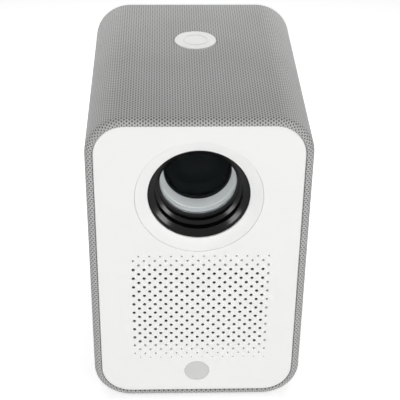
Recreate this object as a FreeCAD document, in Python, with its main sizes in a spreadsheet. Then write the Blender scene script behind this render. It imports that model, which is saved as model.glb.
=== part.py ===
import FreeCAD, Part
import math
import os
import re
import Sketcher
from FreeCAD import Placement, Rotation, Vector

# A projector with a disc drive in an upright case: a knitted fabric sleeve on a moulded housing, a white
# front panel with the lens and a speaker grille, and a slim disc drive whose tray leaves the right side.
# Millimetres. Every body is drawn with x across, y back from the front plane and z up from the
# underside of the sleeve, and its Placement then moves it to the part's origin, the bottom centre.

SIZES = (
    # case
    ("body_width", 140.0, "across the sleeve"),
    ("body_height", 218.5, "sleeve, underside to top"),
    ("body_depth", 176.5, "sleeve, front plane to back plane"),
    ("corner_radius", 25.0, "sleeve corners, seen from the front"),
    ("rim_roll", 4.4, "roll of the sleeve round its front and back rims"),
    ("rim_width", 4.7, "rim, from the sleeve's side to the panel opening"),
    ("fabric", 1.2, "thickness of the knitted fabric"),
    ("wall", 2.4, "housing wall"),
    ("panel_gap", 0.2, "gap round the front and back panels"),
    ("panel_inset", 0.8, "panels behind the rims"),
    ("panel_thickness", 2.5, "front and back panels"),
    ("panel_edge", 0.6, "rounding of the panels' edges"),
    ("ledge_depth", 3.0, "ledge that the panels seat on"),
    ("ledge_width", 3.8, "ledge, inwards from the rim"),
    ("ledge_corner", 32.0, "ledge opening's corners"),
    ("stud_offset", 9.9, "panel studs and screws, from the corner centres"),
    ("stud_radius", 2.0, "studs on the front panel"),
    ("screw_radius", 1.45, "back panel screws, shank"),
    ("screw_head", 2.9, "back panel screws, head radius"),
    ("screw_head_depth", 1.4, "back panel screws, head"),
    ("screw_length", 7.0, "back panel screws, under the head"),
    ("slip", 0.1, "clearance between pieces that only pass or locate each other"),
    ("running", 0.05, "radial clearance of shafts and slides"),
    # underside
    ("foot_height", 1.5, "feet below the sleeve"),
    ("foot_radius", 7.0, "feet"),
    ("foot_seat", 0.6, "feet let into the base plate"),
    ("foot_across", 32.0, "feet, from the centre line"),
    ("foot_along", 60.0, "feet, from the middle"),
    ("base_across", 42.0, "base plate, half width"),
    ("base_along", 72.0, "base plate, half length"),
    ("base_corner", 10.0, "base plate corners"),
    ("insert_radius", 5.0, "tripod insert, outside"),
    ("insert_bore", 2.55, "tripod insert, minor radius of the 1/4-20 thread"),
    ("insert_length", 9.0, "tripod insert"),
    ("insert_thread", 8.0, "tripod insert, threaded depth"),
    ("boss_wall", 3.0, "walls of bosses round inserts"),
    # grille and speaker
    ("hole_pitch", 7.0, "holes along a row; rows are half of it apart"),
    ("hole_radius", 1.05, "holes of the grille"),
    ("grille_side", 28.0, "plain panel beside the grille"),
    ("grille_drop", 54.5, "top full-size row below the lens axis"),
    ("grille_bottom", 48.5, "bottom full-size row"),
    ("mesh_thickness", 0.4, "dark mesh behind the grille"),
    ("mesh_above", 11.0, "mesh, above the full-size rows"),
    ("mesh_below", 15.5, "mesh, below the full-size rows"),
    ("speaker_gap", 5.1, "speaker flange below the lens surround"),
    ("speaker_lap", 2.0, "speaker flange below the drive's top"),
    ("speaker_flange", 2.0, "speaker flange, thickness"),
    ("speaker_rim", 3.0, "flange beyond the basket"),
    ("basket_depth", 22.0, "basket, behind the flange"),
    ("basket_wall", 1.5, "basket"),
    ("cone_radius", 9.0, "dust cap"),
    ("magnet_depth", 12.0, "speaker magnet"),
    # remote control window
    ("window_height", 22.2, "infrared window, centre"),
    ("window_radius", 8.3, "infrared window"),
    ("window_flange", 1.0, "flange of window and surround behind the panel"),
    ("receiver_gap", 5.7, "receiver board behind the panel"),
    ("receiver_post", 12.0, "receiver board posts, from the centre line"),
    ("board_thickness", 1.6, "circuit boards"),
    # lens
    ("lens_drop", 56.0, "lens axis below the top"),
    ("dish_radius", 40.2, "lens surround at the panel"),
    ("dish_throat", 32.2, "lens surround at its inner lip"),
    ("dish_depth", 4.4, "inner lip behind the front plane"),
    ("dish_flange", 42.4, "surround's flange behind the panel"),
    ("hood_wall", 1.6, "lens hood"),
    ("hood_step", 28.2, "hood, radius before its step"),
    ("hood_mouth", 25.6, "hood, radius at its back"),
    ("hood_back", 18.2, "hood, back end behind the front plane"),
    ("glass_radius", 24.5, "visible front glass"),
    ("glass_depth", 21.0, "rim of the front glass behind the front plane"),
    ("glass_dome", 4.0, "front glass, height of its dome"),
    ("glass_edge", 2.4, "front glass, edge thickness"),
    ("element_radius", 26.0, "lens elements in the barrel"),
    ("barrel_wall", 1.5, "lens barrel"),
    ("barrel_length", 40.0, "lens barrel"),
    ("barrel_lip", 0.8, "front lip of the barrel"),
    ("spacer_length", 15.0, "bright ring behind the front glass"),
    ("spacer_throat", 21.5, "bright ring, back radius"),
    ("middle_length", 6.0, "middle lens"),
    ("rear_length", 8.0, "rear lens"),
    ("focus_travel", 1.5, "barrel, each way from rest"),
    ("mount_front", 32.0, "lens mount, front end"),
    ("mount_wall", 2.4, "lens mount tube"),
    ("mount_flange", 4.0, "lens mount's square flange"),
    ("pin_radius", 1.5, "barrel's follower pins"),
    ("pin_depth", 41.0, "follower pins behind the front plane"),
    ("cam_depth", 1.2, "cam groove in the focus ring"),
    ("ring_length", 9.8, "focus ring"),
    ("collar_height", 3.0, "collars that hold the focus ring"),
    ("collar_length", 1.8, "collars that hold the focus ring"),
    ("gear_module", 1.0, "focus gears"),
    ("ring_teeth", 68.0, "teeth on the focus ring"),
    ("pinion_teeth", 12.0, "teeth on the pinion"),
    ("gear_width", 6.0, "toothed width of the focus ring"),
    ("addendum", 0.9, "tooth above the pitch circle, in modules"),
    ("dedendum", 1.2, "tooth below the pitch circle, in modules"),
    ("pressure_angle", 20.0, "slant of the teeth's flanks"),
    ("backlash", 0.25, "taken off each tooth at the pitch circle"),
    ("motor_radius", 6.5, "focus motor"),
    ("motor_length", 13.5, "focus motor"),
    ("shaft_radius", 1.0, "small motor shafts"),
    ("bracket_thickness", 2.0, "motor bracket"),
    # light engine
    ("engine_across", 34.0, "engine housing, half width"),
    ("engine_up", 32.0, "engine housing, half height"),
    ("engine_front", 66.0, "engine housing, front face"),
    ("engine_wall", 2.5, "engine housing"),
    ("light_hole", 22.0, "engine housing, light opening"),
    ("shelf_drop", 40.5, "shelf below the lens axis"),
    ("shelf_thickness", 2.0, "shelf"),
    ("shelf_front", 50.0, "shelf, front edge"),
    ("shelf_end", 27.2, "shelf, back edge from the back panel"),
    ("shelf_bearer", 4.0, "bearers on the housing walls"),
    ("panel_lcd", 2.2, "image panel"),
    ("lcd_gap", 8.0, "image panel behind the engine's front wall"),
    ("condenser_edge", 3.0, "condenser lens, edge"),
    ("condenser_dome", 9.0, "condenser lens, dome"),
    ("condenser_gap", 14.0, "condenser in front of the lamp board"),
    ("led_height", 3.0, "light source on its board"),
    ("sink_base", 4.0, "heat sink base"),
    ("fin_height", 20.0, "heat sink fins"),
    ("fin_thickness", 1.4, "heat sink fins"),
    ("fin_pitch", 7.0, "heat sink fins"),
    ("fan_half", 30.0, "fan frame, half side"),
    ("fan_depth", 15.0, "fan frame"),
    ("fan_gap", 4.6, "fan behind the heat sink"),
    ("fan_bore", 28.2, "fan frame, bore"),
    ("fan_hub", 13.0, "fan rotor hub"),
    ("blade_gap", 0.8, "blade tips from the bore"),
    ("blade_count", 7.0, "fan blades"),
    # power button
    ("button_depth", 111.5, "button axis behind the front plane"),
    ("button_radius", 14.3, "power button"),
    ("button_gap", 0.3, "gap round the power button"),
    ("button_proud", 0.5, "power button above the fabric"),
    ("button_cap", 2.0, "power button, cap thickness"),
    ("button_ring", 8.0, "raised ring on the button"),
    ("button_travel", 1.2, "power button"),
    ("button_stem", 2.0, "power button, stem radius"),
    ("guide_flange", 2.5, "button guide, flange"),
    ("guide_length", 8.0, "button guide, tube"),
    ("leg_length", 13.4, "button guide, legs to the switch board"),
    # electronics
    ("main_across", 36.0, "main board, half width"),
    ("main_gap", 3.75, "main board behind the tripod boss"),
    ("main_height", 9.4, "main board, underside"),
    ("port_reach", 1.0, "ports past the back panel's inner face"),
    ("hdmi_place", -23.0, "video socket from the centre line"),
    ("usb_place", -3.0, "data socket from the centre line"),
    ("audio_place", 13.0, "headphone jack from the centre line"),
    ("inlet_place", 27.0, "power inlet from the centre line"),
    ("hdmi_half", 7.6, "video socket, half width"),
    ("hdmi_up", 5.8, "video socket, height"),
    ("hdmi_length", 12.0, "video socket"),
    ("usb_half", 7.2, "data socket, half width"),
    ("usb_up", 7.0, "data socket, height"),
    ("usb_length", 14.0, "data socket"),
    ("jack_half", 3.6, "headphone jack, half width"),
    ("inlet_half", 4.6, "power inlet, half width"),
    ("inlet_length", 13.0, "power inlet"),
    ("socket_wall", 0.6, "shells of the sockets"),
    ("socket_back", 2.0, "back wall of the sockets"),
    ("tongue", 0.8, "tongues in the sockets"),
    ("audio_bore", 1.8, "headphone jack"),
    ("audio_length", 12.0, "headphone jack, bore"),
    ("inlet_bore", 2.9, "power inlet"),
    ("supply_across", 45.0, "power supply board, half width"),
    ("supply_bottom", 56.0, "power supply board, lower edge"),
    ("supply_drop", 10.0, "power supply board below the shelf"),
    ("supply_gap", 13.6, "power supply board in front of the back panel"),
    # disc drive
    ("drive_bottom", 28.0, "drive case, underside"),
    ("drive_height", 17.0, "drive case"),
    ("drive_clear", 4.4, "drive case from the housing's left wall"),
    ("sheet", 0.6, "sheet metal of the drive"),
    ("bezel_depth", 3.4, "tray bezel"),
    ("bezel_gap", 0.6, "between bezel and drive case"),
    ("surround_wall", 2.4, "frame round the tray opening"),
    ("tray_travel", 130.0, "tray, shut to open"),
    ("tray_bottom", 1.4, "tray above the drive's underside"),
    ("tray_top", 10.0, "tray rim above the drive's underside"),
    ("tray_play", 1.4, "tray from the drive case's back"),
    ("tray_side", 0.9, "tray beside the recess for a 120 mm disc"),
    ("drive_side", 2.7, "drive case beside the tray"),
    ("tray_rim", 3.2, "tray beyond the recess for a 120 mm disc"),
    ("small_disc", 40.4, "recess for an 80 mm disc"),
    ("recess_depth", 1.6, "recess for a 120 mm disc"),
    ("small_step", 0.4, "further step for an 80 mm disc"),
    ("tray_floor", 1.0, "floor under the recess"),
    ("rail_start", 3.6, "slide rails from the tray's back"),
    ("rail_end", 13.0, "slide rails behind the drive case's mouth"),
    ("rail_web", 1.6, "slide rails"),
    ("rail_rib", 0.8, "rib of a slide rail"),
    ("rail_height", 4.2, "slide rails"),
    ("rib_height", 1.7, "rib of a slide rail"),
    ("rail_bottom", 2.6, "slide rails above the drive's underside"),
    ("turntable", 13.0, "spindle turntable"),
    ("hub_radius", 7.4, "spindle hub, in the disc's hole"),
    ("hub_height", 1.9, "spindle hub above the turntable"),
    ("disc_lift", 1.0, "turntable above the recess floor"),
    ("spindle_motor", 12.0, "spindle motor"),
    ("sled_angle", 135.0, "pickup's way, from the tray's opening direction"),
    ("sled_start", 23.5, "pickup lens from the spindle axis at rest"),
    ("sled_play", 0.9, "pickup sled from the far lugs at its limit"),
    ("sled_half", 6.5, "pickup sled, half length"),
    ("sled_across", 17.4, "pickup sled, half width"),
    ("sled_thickness", 4.0, "pickup sled"),
    ("rod_radius", 1.0, "guide rods"),
    ("rod_across", 15.0, "guide rods from the pickup's centre line"),
    ("rod_height", 4.6, "guide rods above the drive's underside"),
    ("screw_across", 9.0, "lead screw from the pickup's centre line"),
    ("lead_radius", 1.2, "lead screw"),
    ("chassis_near", 13.2, "lift-up lugs of the pickup chassis, inner end"),
    ("chassis_reach", 2.4, "pickup chassis, beyond half the tray's length"),
    ("chassis_across", 18.0, "pickup chassis, half width"),
    ("sled_motor", 2.6, "pickup motor"),
    ("sled_motor_length", 7.6, "pickup motor"),
    ("objective_radius", 3.6, "pickup lens"),
    ("eject_across", 4.8, "eject button, half length"),
    ("eject_up", 1.4, "eject button, half height"),
    ("eject_place", -44.0, "eject button from the bezel's middle"),
    ("eject_travel", 0.8, "eject button"),
)

WORKED_OUT = (
    ("tray_across", "=(body_width - bezel_depth - fabric - wall - drive_clear - tray_play) / 2"
                    " - tray_rim + tray_side", "tray, half width"),
    ("drive_across", "=tray_across + drive_side", "drive case, half width"),
)

doc = FreeCAD.newDocument("Projector")
sheet = doc.addObject("Spreadsheet::Sheet", "Sizes")
for row, (alias, value, note) in enumerate(SIZES + WORKED_OUT, start=1):
    sheet.set(f"A{row}", alias)
    sheet.set(f"B{row}", str(value))
    sheet.setAlias(f"B{row}", alias)
    sheet.set(f"C{row}", note)
doc.recompute()

ALIASES = {alias for alias, value, note in SIZES + WORKED_OUT}
PARTS = []

# Places that several pieces share, in terms of the sheet.
OPENING = "rim_width"
PANEL_EDGE = "(rim_width + panel_gap)"
PANEL_BACK = "(panel_inset + panel_thickness)"
LEDGE_BACK = "(panel_inset + panel_thickness + ledge_depth)"
CAVITY = "(fabric + wall)"
REAR_INSIDE = "(body_depth - panel_inset - panel_thickness)"
CORNER_X = "(body_width / 2 - corner_radius + stud_offset)"
CORNER_LOW = "(corner_radius - stud_offset)"
CORNER_HIGH = "(body_height - corner_radius + stud_offset)"
MIDDLE = "(body_depth / 2)"
LENS_Z = "(body_height - lens_drop)"
GRILLE_TOP = "(body_height - lens_drop - grille_drop)"
MESH_ACROSS = "(body_width / 2 - grille_side + 2 * boss_wall)"
SPEAKER_TOP = f"({LENS_Z} - dish_flange - speaker_gap)"
SPEAKER_LOW = "(drive_bottom + drive_height - speaker_lap)"
SPEAKER_HALF = f"(({SPEAKER_TOP} - {SPEAKER_LOW}) / 2)"
SPEAKER_Z = f"(({SPEAKER_TOP} + {SPEAKER_LOW}) / 2)"
BASKET = f"({SPEAKER_HALF} - speaker_rim)"
SPEAKER_HOLE = f"({SPEAKER_HALF} - speaker_rim - speaker_flange)"
MAGNET = f"({SPEAKER_HALF} * 5 / 8)"
SHELF_TOP = "(body_height - lens_drop - shelf_drop)"
SHELF_BACK = f"({REAR_INSIDE} - shelf_end)"
SUPPLY_TOP = f"({SHELF_TOP} - supply_drop)"
ENGINE_BACK = f"({REAR_INSIDE} - fan_depth - fan_gap - fin_height - sink_base - board_thickness)"
BOARD_BACK = f"({REAR_INSIDE} - fan_depth - fan_gap - fin_height - sink_base)"
MAIN_FRONT = "(body_depth / 2 + insert_radius + boss_wall + main_gap)"
CASE_FRONT = "(body_width / 2 - bezel_depth - bezel_gap)"
CASE_BACK = "(fabric + wall + drive_clear - body_width / 2)"
TRAY_FRONT = "(body_width / 2 - bezel_depth)"
TRAY_BACK = "(fabric + wall + drive_clear + tray_play - body_width / 2)"
TRAY_HALF = f"(({TRAY_FRONT} - {TRAY_BACK}) / 2)"
SPINDLE_X = f"(({TRAY_FRONT} + {TRAY_BACK}) / 2)"
CHASSIS_FAR = f"({TRAY_HALF} + chassis_reach)"
LENS_FAR = f"({CHASSIS_FAR} - sheet - sled_play - sled_half)"
RECESS_FLOOR = "(tray_top - recess_depth)"
FLOOR_UNDER = "(tray_top - recess_depth - tray_floor)"
BARREL_RADIUS = "(element_radius + running + barrel_wall)"
MOUNT_BORE = "(element_radius + barrel_wall + 2 * running)"
MOUNT_RADIUS = "(element_radius + barrel_wall + 2 * running + mount_wall)"
RING_FRONT = "(pin_depth - ring_length / 2)"
RING_BACK = "(pin_depth + ring_length / 2)"
CAM_HALF = "(focus_travel + pin_radius + 5 * running)"
SPACER_BACK = "(glass_depth + glass_edge + spacer_length)"
PITCH_RADIUS = "(gear_module * ring_teeth / 2)"
GEAR_CENTRES = "(gear_module * (ring_teeth + pinion_teeth) / 2)"
BUTTON_UNDER = "(body_height + button_proud - button_cap)"
GUIDE_TOP = "(body_height - fabric - wall)"
DISC_PLANE = "(tray_top - recess_depth + disc_lift)"
BOARD_TOP = "(main_height + board_thickness)"
MOUTH = "(body_depth - panel_inset - panel_thickness + port_reach)"
MOTOR_FRONT = "(engine_front - mount_flange - bracket_thickness - motor_length)"
RIB_LOW = "(rail_bottom + rail_height / 2 - rib_height / 2)"
RIB_HIGH = "(rail_bottom + rail_height / 2 + rib_height / 2)"

# Each socket: place along the board, half width, height and length.
VIDEO = ("hdmi_place", "hdmi_half", "hdmi_up", "hdmi_length")
DATA = ("usb_place", "usb_half", "usb_up", "usb_length")
AUDIO = ("audio_place", "jack_half", "2 * jack_half", "audio_length + socket_back")
POWER = ("inlet_place", "inlet_half", "2 * inlet_half", "inlet_length")


def bound(words):
    """The expression in the sheet's terms, for setExpression."""
    def cell(match):
        return "Sizes." + match.group(0) if match.group(0) in ALIASES else match.group(0)
    return re.sub(r"[a-z][a-z_]*", cell, str(words))


def number(words):
    """The expression's value now."""
    return float(sheet.evalExpression(bound(words)))


def tie(thing, path, words):
    """Bind one property of an object to the sheet."""
    thing.setExpression(path, bound(words))


def new_body(label, x="0", y="0", z="0", turn=0.0):
    """A body whose own zero stands at the front plane's foot, moved by x, y, z; turn is about +Z."""
    body = doc.addObject("PartDesign::Body", label)
    body.Label = label
    body.Placement = Placement(Vector(), Rotation(Vector(0, 0, 1), turn))
    tie(body, "Placement.Base.x", x)
    tie(body, "Placement.Base.y", f"{y} - body_depth / 2")
    tie(body, "Placement.Base.z", f"{z} + foot_height")
    PARTS.append(body)
    return body


ALONG = {"XY_Plane": 1, "XZ_Plane": -1, "YZ_Plane": 1}


def new_sketch(body, plane, at, name, centre=("0", "0"), turn=0.0):
    """A sketch across an axis at the given place. XZ looks along y, XY along z, YZ along x."""
    origin = [feature for feature in body.Origin.OriginFeatures if feature.Role == plane][0]
    sketch = body.newObject("Sketcher::SketchObject", f"{body.Name}_{name}")
    sketch.AttachmentSupport = [(origin, "")]
    sketch.MapMode = "FlatFace"
    sketch.AttachmentOffset = Placement(Vector(), Rotation(Vector(0, 0, 1), turn))
    tie(sketch, ".AttachmentOffset.Base.x", centre[0])
    tie(sketch, ".AttachmentOffset.Base.y", centre[1])
    tie(sketch, ".AttachmentOffset.Base.z", f"{ALONG[plane]} * ({at})")
    return sketch


def hold(sketch, holds):
    """Hold points of curves: each entry is (curve, which point, x, y)."""
    first = sketch.ConstraintCount
    wanted = [(kind, curve, end, words) for curve, end, x, y in holds
              for kind, words in (("DistanceX", x), ("DistanceY", y))]
    sketch.addConstraint([Sketcher.Constraint(kind, -1, 1, curve, end, number(words))
                          for kind, curve, end, words in wanted])
    for index, (kind, curve, end, words) in enumerate(wanted, start=first):
        tie(sketch, f"Constraints[{index}]", words)


def hold_radius(sketch, curve, radius):
    """Hold the radius of a circle or arc."""
    index = sketch.addConstraint(Sketcher.Constraint("Radius", curve, number(radius)))
    tie(sketch, f"Constraints[{index}]", radius)


def polygon(sketch, points):
    """A closed outline through points, each a pair of expressions."""
    places = [Vector(number(x), number(y), 0) for x, y in points]
    first = sketch.GeometryCount
    count = len(points)
    sketch.addGeometry([Part.LineSegment(places[index], places[(index + 1) % count])
                        for index in range(count)], False)
    sketch.addConstraint([Sketcher.Constraint("Coincident", first + index, 2,
                                              first + (index + 1) % count, 1)
                          for index in range(count)])
    hold(sketch, [(first + index, 1, x, y) for index, (x, y) in enumerate(points)])


def rectangle(sketch, left, right, low, high):
    """A rectangle between four sides."""
    polygon(sketch, ((left, low), (right, low), (right, high), (left, high)))


def circle(sketch, x, y, radius):
    """A circle about x, y."""
    centre = Vector(number(x), number(y), 0)
    index = sketch.addGeometry(Part.Circle(centre, Vector(0, 0, 1), number(radius)), False)
    hold(sketch, [(index, 3, x, y)])
    hold_radius(sketch, index, radius)


def rounded(sketch, left, right, low, high, radius):
    """A rectangle with round corners: four arcs joined by four tangent lines."""
    x0, x1, y0, y1, r = (number(words) for words in (left, right, low, high, radius))
    first = sketch.GeometryCount
    corners = ((x0 + r, y0 + r, 180), (x1 - r, y0 + r, 270), (x1 - r, y1 - r, 0), (x0 + r, y1 - r, 90))
    curves = []
    for x, y, start in corners:
        turn = math.radians(start)
        ring = Part.Circle(Vector(x, y, 0), Vector(0, 0, 1), r)
        curves.append(Part.ArcOfCircle(ring, turn, turn + math.pi / 2))
    for index, (x, y, start) in enumerate(corners):
        after_x, after_y, after_start = corners[(index + 1) % 4]
        turn = math.radians(after_start)
        leave = Vector(x + r * math.cos(turn), y + r * math.sin(turn), 0)
        arrive = Vector(after_x + r * math.cos(turn), after_y + r * math.sin(turn), 0)
        curves.append(Part.LineSegment(leave, arrive))
    sketch.addGeometry(curves, False)
    joints = []
    for index in range(4):
        line = first + 4 + index
        joints.append(Sketcher.Constraint("Tangent", first + index, 2, line, 1))
        joints.append(Sketcher.Constraint("Tangent", line, 2, first + (index + 1) % 4, 1))
    sketch.addConstraint(joints)
    hold(sketch, ((first, 3, f"({left}) + ({radius})", f"({low}) + ({radius})"),
                  (first + 1, 3, f"({right}) - ({radius})", f"({low}) + ({radius})"),
                  (first + 2, 3, f"({right}) - ({radius})", f"({high}) - ({radius})"),
                  (first + 3, 3, f"({left}) + ({radius})", f"({high}) - ({radius})")))
    hold_radius(sketch, first, radius)


def outline(sketch, inset, corner=None):
    """The case's outline seen from the front, moved inwards by inset."""
    side = f"(body_width / 2 - {inset})"
    radius = corner or f"(corner_radius - {inset})"
    rounded(sketch, f"-{side}", side, inset, f"body_height - {inset}", radius)


def centred(sketch, half_x, half_y, radius=None):
    """A rectangle about the sketch's zero, with round corners where a radius is given."""
    sides = (f"-({half_x})", half_x, f"-({half_y})", half_y)
    if radius:
        rounded(sketch, *sides, radius)
    else:
        rectangle(sketch, *sides)


def pad(body, sketch, low, high, name):
    """Add the sketch's outline from its own place, low, to high."""
    feature = body.newObject("PartDesign::Pad", f"{body.Name}_{name}")
    feature.Profile = sketch
    feature.Refine = False
    feature.Reversed = sketch.AttachmentSupport[0][0].Role == "XZ_Plane"
    tie(feature, "Length", f"({high}) - ({low})")
    doc.recompute()
    return feature


def pocket(body, sketch, low, high, name):
    """Cut the sketch's outline from its own place, low, to high, and see that it cuts."""
    before = body.Shape.Volume
    feature = body.newObject("PartDesign::Pocket", f"{body.Name}_{name}")
    feature.Profile = sketch
    feature.Refine = False
    feature.Reversed = sketch.AttachmentSupport[0][0].Role != "XZ_Plane"
    tie(feature, "Length", f"({high}) - ({low})")
    doc.recompute()
    if not body.Shape.Volume < before:
        raise RuntimeError(f"{body.Label}: {name} cuts nothing")
    return feature


def add(body, plane, low, high, name, draw, **place):
    """Pad what draw(sketch) draws across the plane's axis, from low to high."""
    sketch = new_sketch(body, plane, low, f"{name}_outline", **place)
    draw(sketch)
    return pad(body, sketch, low, high, name)


def cut(body, plane, low, high, name, draw, **place):
    """Cut what draw(sketch) draws across the plane's axis, from low to high."""
    sketch = new_sketch(body, plane, low, f"{name}_outline", **place)
    draw(sketch)
    return pocket(body, sketch, low, high, name)


def turn_profile(body, points, name, plane="YZ_Plane", axis="H_Axis"):
    """Revolve an outline: (y, radius) pairs about y, or (radius, z) pairs about z with XZ and V_Axis."""
    sketch = new_sketch(body, plane, "0", f"{name}_profile")
    polygon(sketch, points)
    feature = body.newObject("PartDesign::Revolution", f"{body.Name}_{name}")
    feature.Profile = sketch
    feature.ReferenceAxis = (sketch, [axis])
    feature.Angle = 360
    feature.Refine = False
    doc.recompute()
    return feature


def edges_at(feature, axis, place):
    """Names of the feature's edges that lie in the plane axis = place."""
    names = []
    for index, edge in enumerate(feature.Shape.Edges, start=1):
        low, high = (getattr(edge.BoundBox, f"{axis}{end}") for end in ("Min", "Max"))
        if abs(low - place) < 1e-3 and abs(high - place) < 1e-3:
            names.append(f"Edge{index}")
    return names


def outline_edges(feature, depth, inset):
    """Names of the edges at one depth that belong to the case's outline moved inwards by inset."""
    across = number(f"body_width / 2 - {inset}") - 1e-3
    low, high = (number(inset) + 1e-3, number(f"body_height - {inset}") - 1e-3)
    names = []
    for name in edges_at(feature, "Y", number(depth)):
        box = feature.Shape.getElement(name).BoundBox
        if max(-box.XMin, box.XMax) > across or box.ZMax < low or box.ZMin > high:
            names.append(name)
    return names


def fillet(body, feature, names, radius, name):
    """Round the named edges."""
    rounding = body.newObject("PartDesign::Fillet", f"{body.Name}_{name}")
    rounding.Base = (feature, names)
    rounding.Refine = False
    tie(rounding, "Radius", radius)
    doc.recompute()
    return rounding


def four(sketch, across, low, high, radius):
    """Four circles at plus and minus across, at low and at high."""
    for x in (f"-({across})", across):
        for y in (low, high):
            circle(sketch, x, y, radius)


# ---- case ----

def rolled_block(body, inset):
    """A solid block of the case's outline, moved inwards by inset on every side, with rolled ends."""
    block = add(body, "XZ_Plane", inset, f"body_depth - {inset}", "block", lambda s: outline(s, inset))
    ends = edges_at(block, "Y", number(inset)) + edges_at(block, "Y", number(f"body_depth - {inset}"))
    return fillet(body, block, ends, f"rim_roll - {inset}", "roll")


def fabric_sleeve():
    """A knitted tube whose ends roll over the housing's rims, cut out for base, button and tray."""
    core = doc.addObject("PartDesign::Body", "sleeve_core")
    rolled_block(core, "fabric")
    body = new_body("fabric_sleeve")
    rolled_block(body, "0")
    hollow = body.newObject("PartDesign::Boolean", "fabric_sleeve_hollow")
    hollow.Type = "Cut"
    hollow.addObjects([core])
    body.Tip = hollow
    doc.recompute()
    cut(body, "XZ_Plane", "-rim_roll", "body_depth + rim_roll", "opening", lambda s: outline(s, OPENING))
    cut(body, "XY_Plane", "-fabric", "fabric + wall", "base_opening",
        lambda s: centred(s, "base_across + slip", "base_along + slip", "base_corner + slip"),
        centre=("0", MIDDLE))
    cut(body, "XY_Plane", "body_height - wall - fabric", "body_height + fabric", "button_opening",
        lambda s: circle(s, "0", "button_depth", "button_radius + button_gap"))
    cut(body, "YZ_Plane", "body_width / 2 - wall - fabric", "body_width / 2 + fabric", "tray_opening",
        surround_outline)


def surround_outline(sketch):
    """The hole for the frame round the tray opening, seen from the right."""
    half = "(drive_across + surround_wall + running)"
    rounded(sketch, f"body_depth / 2 - {half}", f"body_depth / 2 + {half}",
            "drive_bottom - surround_wall - running",
            "drive_bottom + drive_height + surround_wall + running", "surround_wall")


def housing_shell():
    """The moulded tube under the fabric: rims, ledges for the panels, bearers, posts and bosses."""
    body = new_body("housing_shell")
    rolled_block(body, "fabric")
    cut(body, "XZ_Plane", "0", PANEL_BACK, "front_seat", lambda s: outline(s, OPENING))
    cut(body, "XZ_Plane", REAR_INSIDE, "body_depth", "back_seat", lambda s: outline(s, OPENING))
    cut(body, "XZ_Plane", LEDGE_BACK, f"body_depth - {LEDGE_BACK}", "cavity", lambda s: outline(s, CAVITY))
    cut(body, "XZ_Plane", "0", "body_depth", "ledge_opening",
        lambda s: outline(s, "(rim_width + ledge_width)", "ledge_corner"))
    cut(body, "XZ_Plane", "0", "corner_radius", "stud_holes",
        lambda s: four(s, CORNER_X, CORNER_LOW, CORNER_HIGH, "stud_radius + slip"))
    cut(body, "XZ_Plane", "body_depth - corner_radius", "body_depth", "screw_holes",
        lambda s: four(s, CORNER_X, CORNER_LOW, CORNER_HIGH, "screw_radius"))

    def bearers(sketch):
        for side in ("-1", "1"):
            inner = f"{side} * (body_width / 2 - {CAVITY} - shelf_bearer)"
            outer = f"{side} * (body_width / 2 - {CAVITY} + wall / 2)"
            top = f"{SHELF_TOP} - shelf_thickness"
            polygon(sketch, ((inner, top), (outer, top), (outer, f"{top} - 2 * shelf_bearer"),
                             (inner, f"{top} - shelf_bearer / 2")))
    add(body, "XZ_Plane", "shelf_front", SHELF_BACK, "bearers", bearers)

    def drive_posts(sketch):
        for y in ("-4 / 5 * drive_across", "4 / 5 * drive_across"):
            for x in ("-(main_across + 2 * boss_wall)", "main_across + 2 * boss_wall"):
                circle(sketch, x, f"body_depth / 2 + {y}", "boss_wall")
    add(body, "XY_Plane", "fabric + wall / 2", "drive_bottom", "drive_posts", drive_posts)

    def board_posts(sketch):
        for y in (f"{MAIN_FRONT} + 2 * boss_wall", f"{REAR_INSIDE} - 3 * boss_wall"):
            for x in ("-(main_across - boss_wall)", "main_across - boss_wall"):
                circle(sketch, x, y, "boss_wall * 4 / 5")
    add(body, "XY_Plane", "fabric + wall / 2", "main_height", "board_posts", board_posts)
    cut(body, "XY_Plane", "0", "fabric + wall + slip", "boss_opening",
        lambda s: centred(s, "insert_radius + boss_wall + slip", "insert_radius + boss_wall + slip",
                          "boss_wall"), centre=("0", MIDDLE))
    cut(body, "XY_Plane", "body_height - 2 * wall - fabric", "body_height", "button_hole",
        lambda s: circle(s, "0", "button_depth", "button_radius + button_gap"))
    cut(body, "YZ_Plane", "body_width / 2 - 2 * wall - fabric", "body_width / 2", "tray_hole",
        surround_outline)


def grille(sketch):
    """Staggered rows of small six-sided holes, each row shifted by half a pitch from the last."""
    pitch = number("hole_pitch")
    radius = number("hole_radius")
    columns = round(number("(body_width - 2 * grille_side) / hole_pitch")) + 1
    rows = round(number(f"({GRILLE_TOP} - grille_bottom) / hole_pitch * 2")) + 1
    left = -pitch * (columns - 1) / 2
    sides = []
    for row in range(rows):
        z = number(GRILLE_TOP) - row * pitch / 2
        shift = pitch / 2 * (row % 2)
        for column in range(columns):
            x = left + shift + column * pitch
            corners = [Vector(x + radius * math.cos(math.pi / 3 * side),
                              z + radius * math.sin(math.pi / 3 * side), 0) for side in range(6)]
            sides += [Part.LineSegment(corners[side], corners[(side + 1) % 6]) for side in range(6)]
    sketch.addGeometry(sides, False)


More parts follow.
